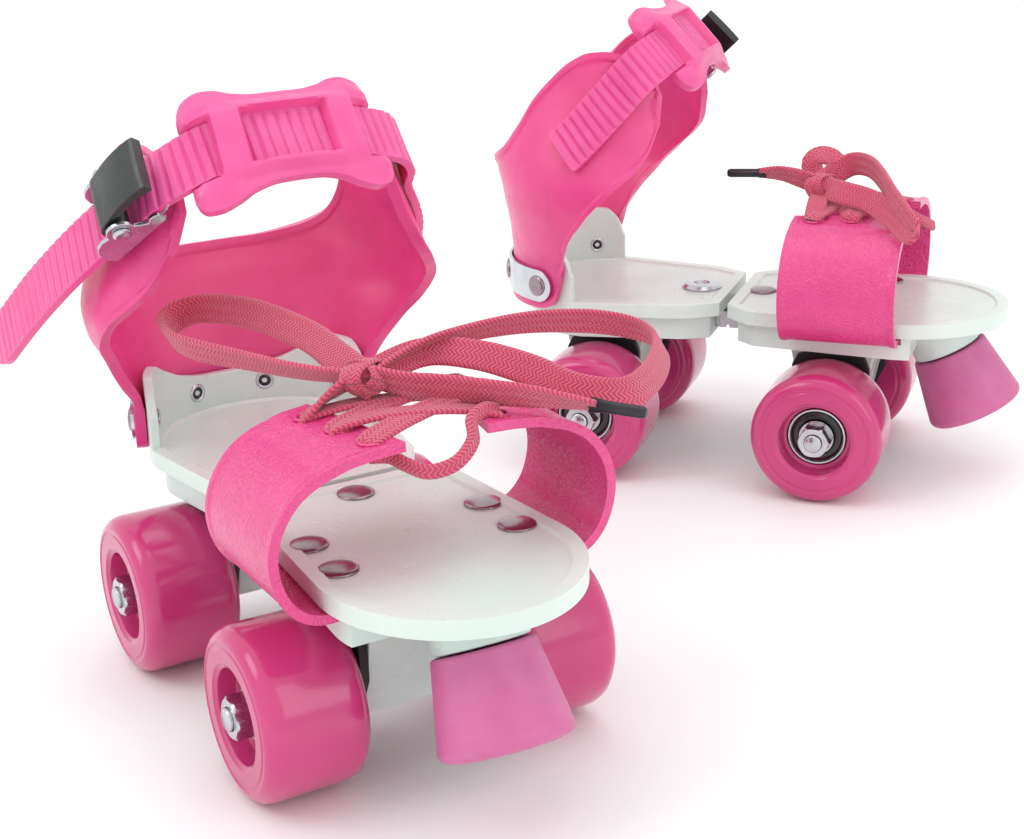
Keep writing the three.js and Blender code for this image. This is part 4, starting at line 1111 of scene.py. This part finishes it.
def add_toe_strap(side, flank, sign):
    curve, run = even(spline([(y, z, 0) for y, z in TOE_SECTION], 12), 1.1)
    shares = np.concatenate([[0, 0.02, 0.04, 0.06, 0.08], np.linspace(0.11, 0.89, 26), [0.92, 0.94, 0.96, 0.98, 1]])
    xs = TOE_REAR + (TOE_FRONT - TOE_REAR) * shares
    columns = []
    for i, (y, z, _) in enumerate(curve):
        column = []
        for x in xs:
            edge = flap_edge(x)
            reach = y
            if y < 36 and z > 90:
                reach = 36 + (y - 36) * (36 - edge) / (36 - 20)
            height = flap_z(reach) if (z > 90 and reach < 35.5) else z
            column.append((x, sign * reach, height))
        columns.append(column)
    grid = np.array(columns)
    if sign < 0:
        grid = grid[::-1]
    edge = edge_distance(grid)
    end = np.minimum(run, run[-1] - run)[:, None] if sign > 0 else np.minimum(run[::-1], run[-1] - run[::-1])[:, None]
    above = 1.3 - 0.25 + 0.4 * (1 - smooth_step(edge, 1.9, 2.7)) - 0.3 * np.exp(-(((end - 12.5) / 0.6) ** 2))
    strap = build(side, f"toe_strap_{flank}_moulded", *sheet(grid, 1.3, above), toe_mat, "front_frame", "strap",
                  [f"toe_strap_{flank}"], bevel=0.6)
    cut(strap, *[turned([(0, -8), (2.5, -8), (2.5, 8), (0, 8)], hole(x, sign), (0, 0, 1), 24, False) for x in HOLES])
    rim = [(2.4, -0.2), (3.5, -0.2), (3.5, 0.25), (3.0, 0.45), (2.4, 0.3)]
    rims = [turned(rim, hole(x, sign, 1.15), (0, 0.03 * sign, 1), 32)
            for x in HOLES]
    verts, faces = join(*rims)
    build(side, f"toe_strap_{flank}_hole_rims", verts, faces, toe_mat, "front_frame", "strap")


for side in SIDES:
    add_toe_strap(side, "outer", -1)
    add_toe_strap(side, "inner", 1)


# ---------------------------------------------------------------- floor and light
def add_floor():
    mesh = bpy.data.meshes.new("floor")
    mesh.from_pydata([(-6, -6, 0), (6, -6, 0), (6, 6, 0), (-6, 6, 0)], [], [[0, 1, 2, 3]])
    floor = bpy.data.objects.new("floor", mesh)
    bpy.context.scene.collection.objects.link(floor)
    floor.location.z = -0.0005
    m = Mat("floor_paper", Roughness=0.6)
    m.colours(m.span(m.noise(2, 3), 0, 1), (0.95, 0.96, 0.96, 1), (0.93, 0.94, 0.94, 1))
    mesh.materials.append(m.mat)


def add_light(name, place, target, size, power, colour=(1, 1, 1)):
    data = bpy.data.lights.new(name, "AREA")
    data.shape = "RECTANGLE"
    data.size, data.size_y = size
    data.energy = power
    data.color = colour
    light = bpy.data.objects.new(name, data)
    bpy.context.scene.collection.objects.link(light)
    light.location = place
    aim = Vector(target) - Vector(place)
    light.rotation_euler = aim.to_track_quat("-Z", "Y").to_euler()


def add_world():
    scene_world = bpy.data.worlds.new("studio")
    bpy.context.scene.world = scene_world
    scene_world.use_nodes = True
    background = scene_world.node_tree.nodes["Background"]
    background.inputs["Color"].default_value = (1, 1, 1, 1)
    background.inputs["Strength"].default_value = 1.04


add_floor()
add_world()
add_light("key", (-0.75, -0.75, 1.1), (0, 0, 0.08), (0.7, 0.7), 4)
add_light("fill", (1.1, -0.5, 0.7), (0, 0, 0.08), (0.5, 0.9), 2)
add_light("top", (0.1, 0.2, 1.5), (0, 0, 0.05), (1.0, 1.0), 3)
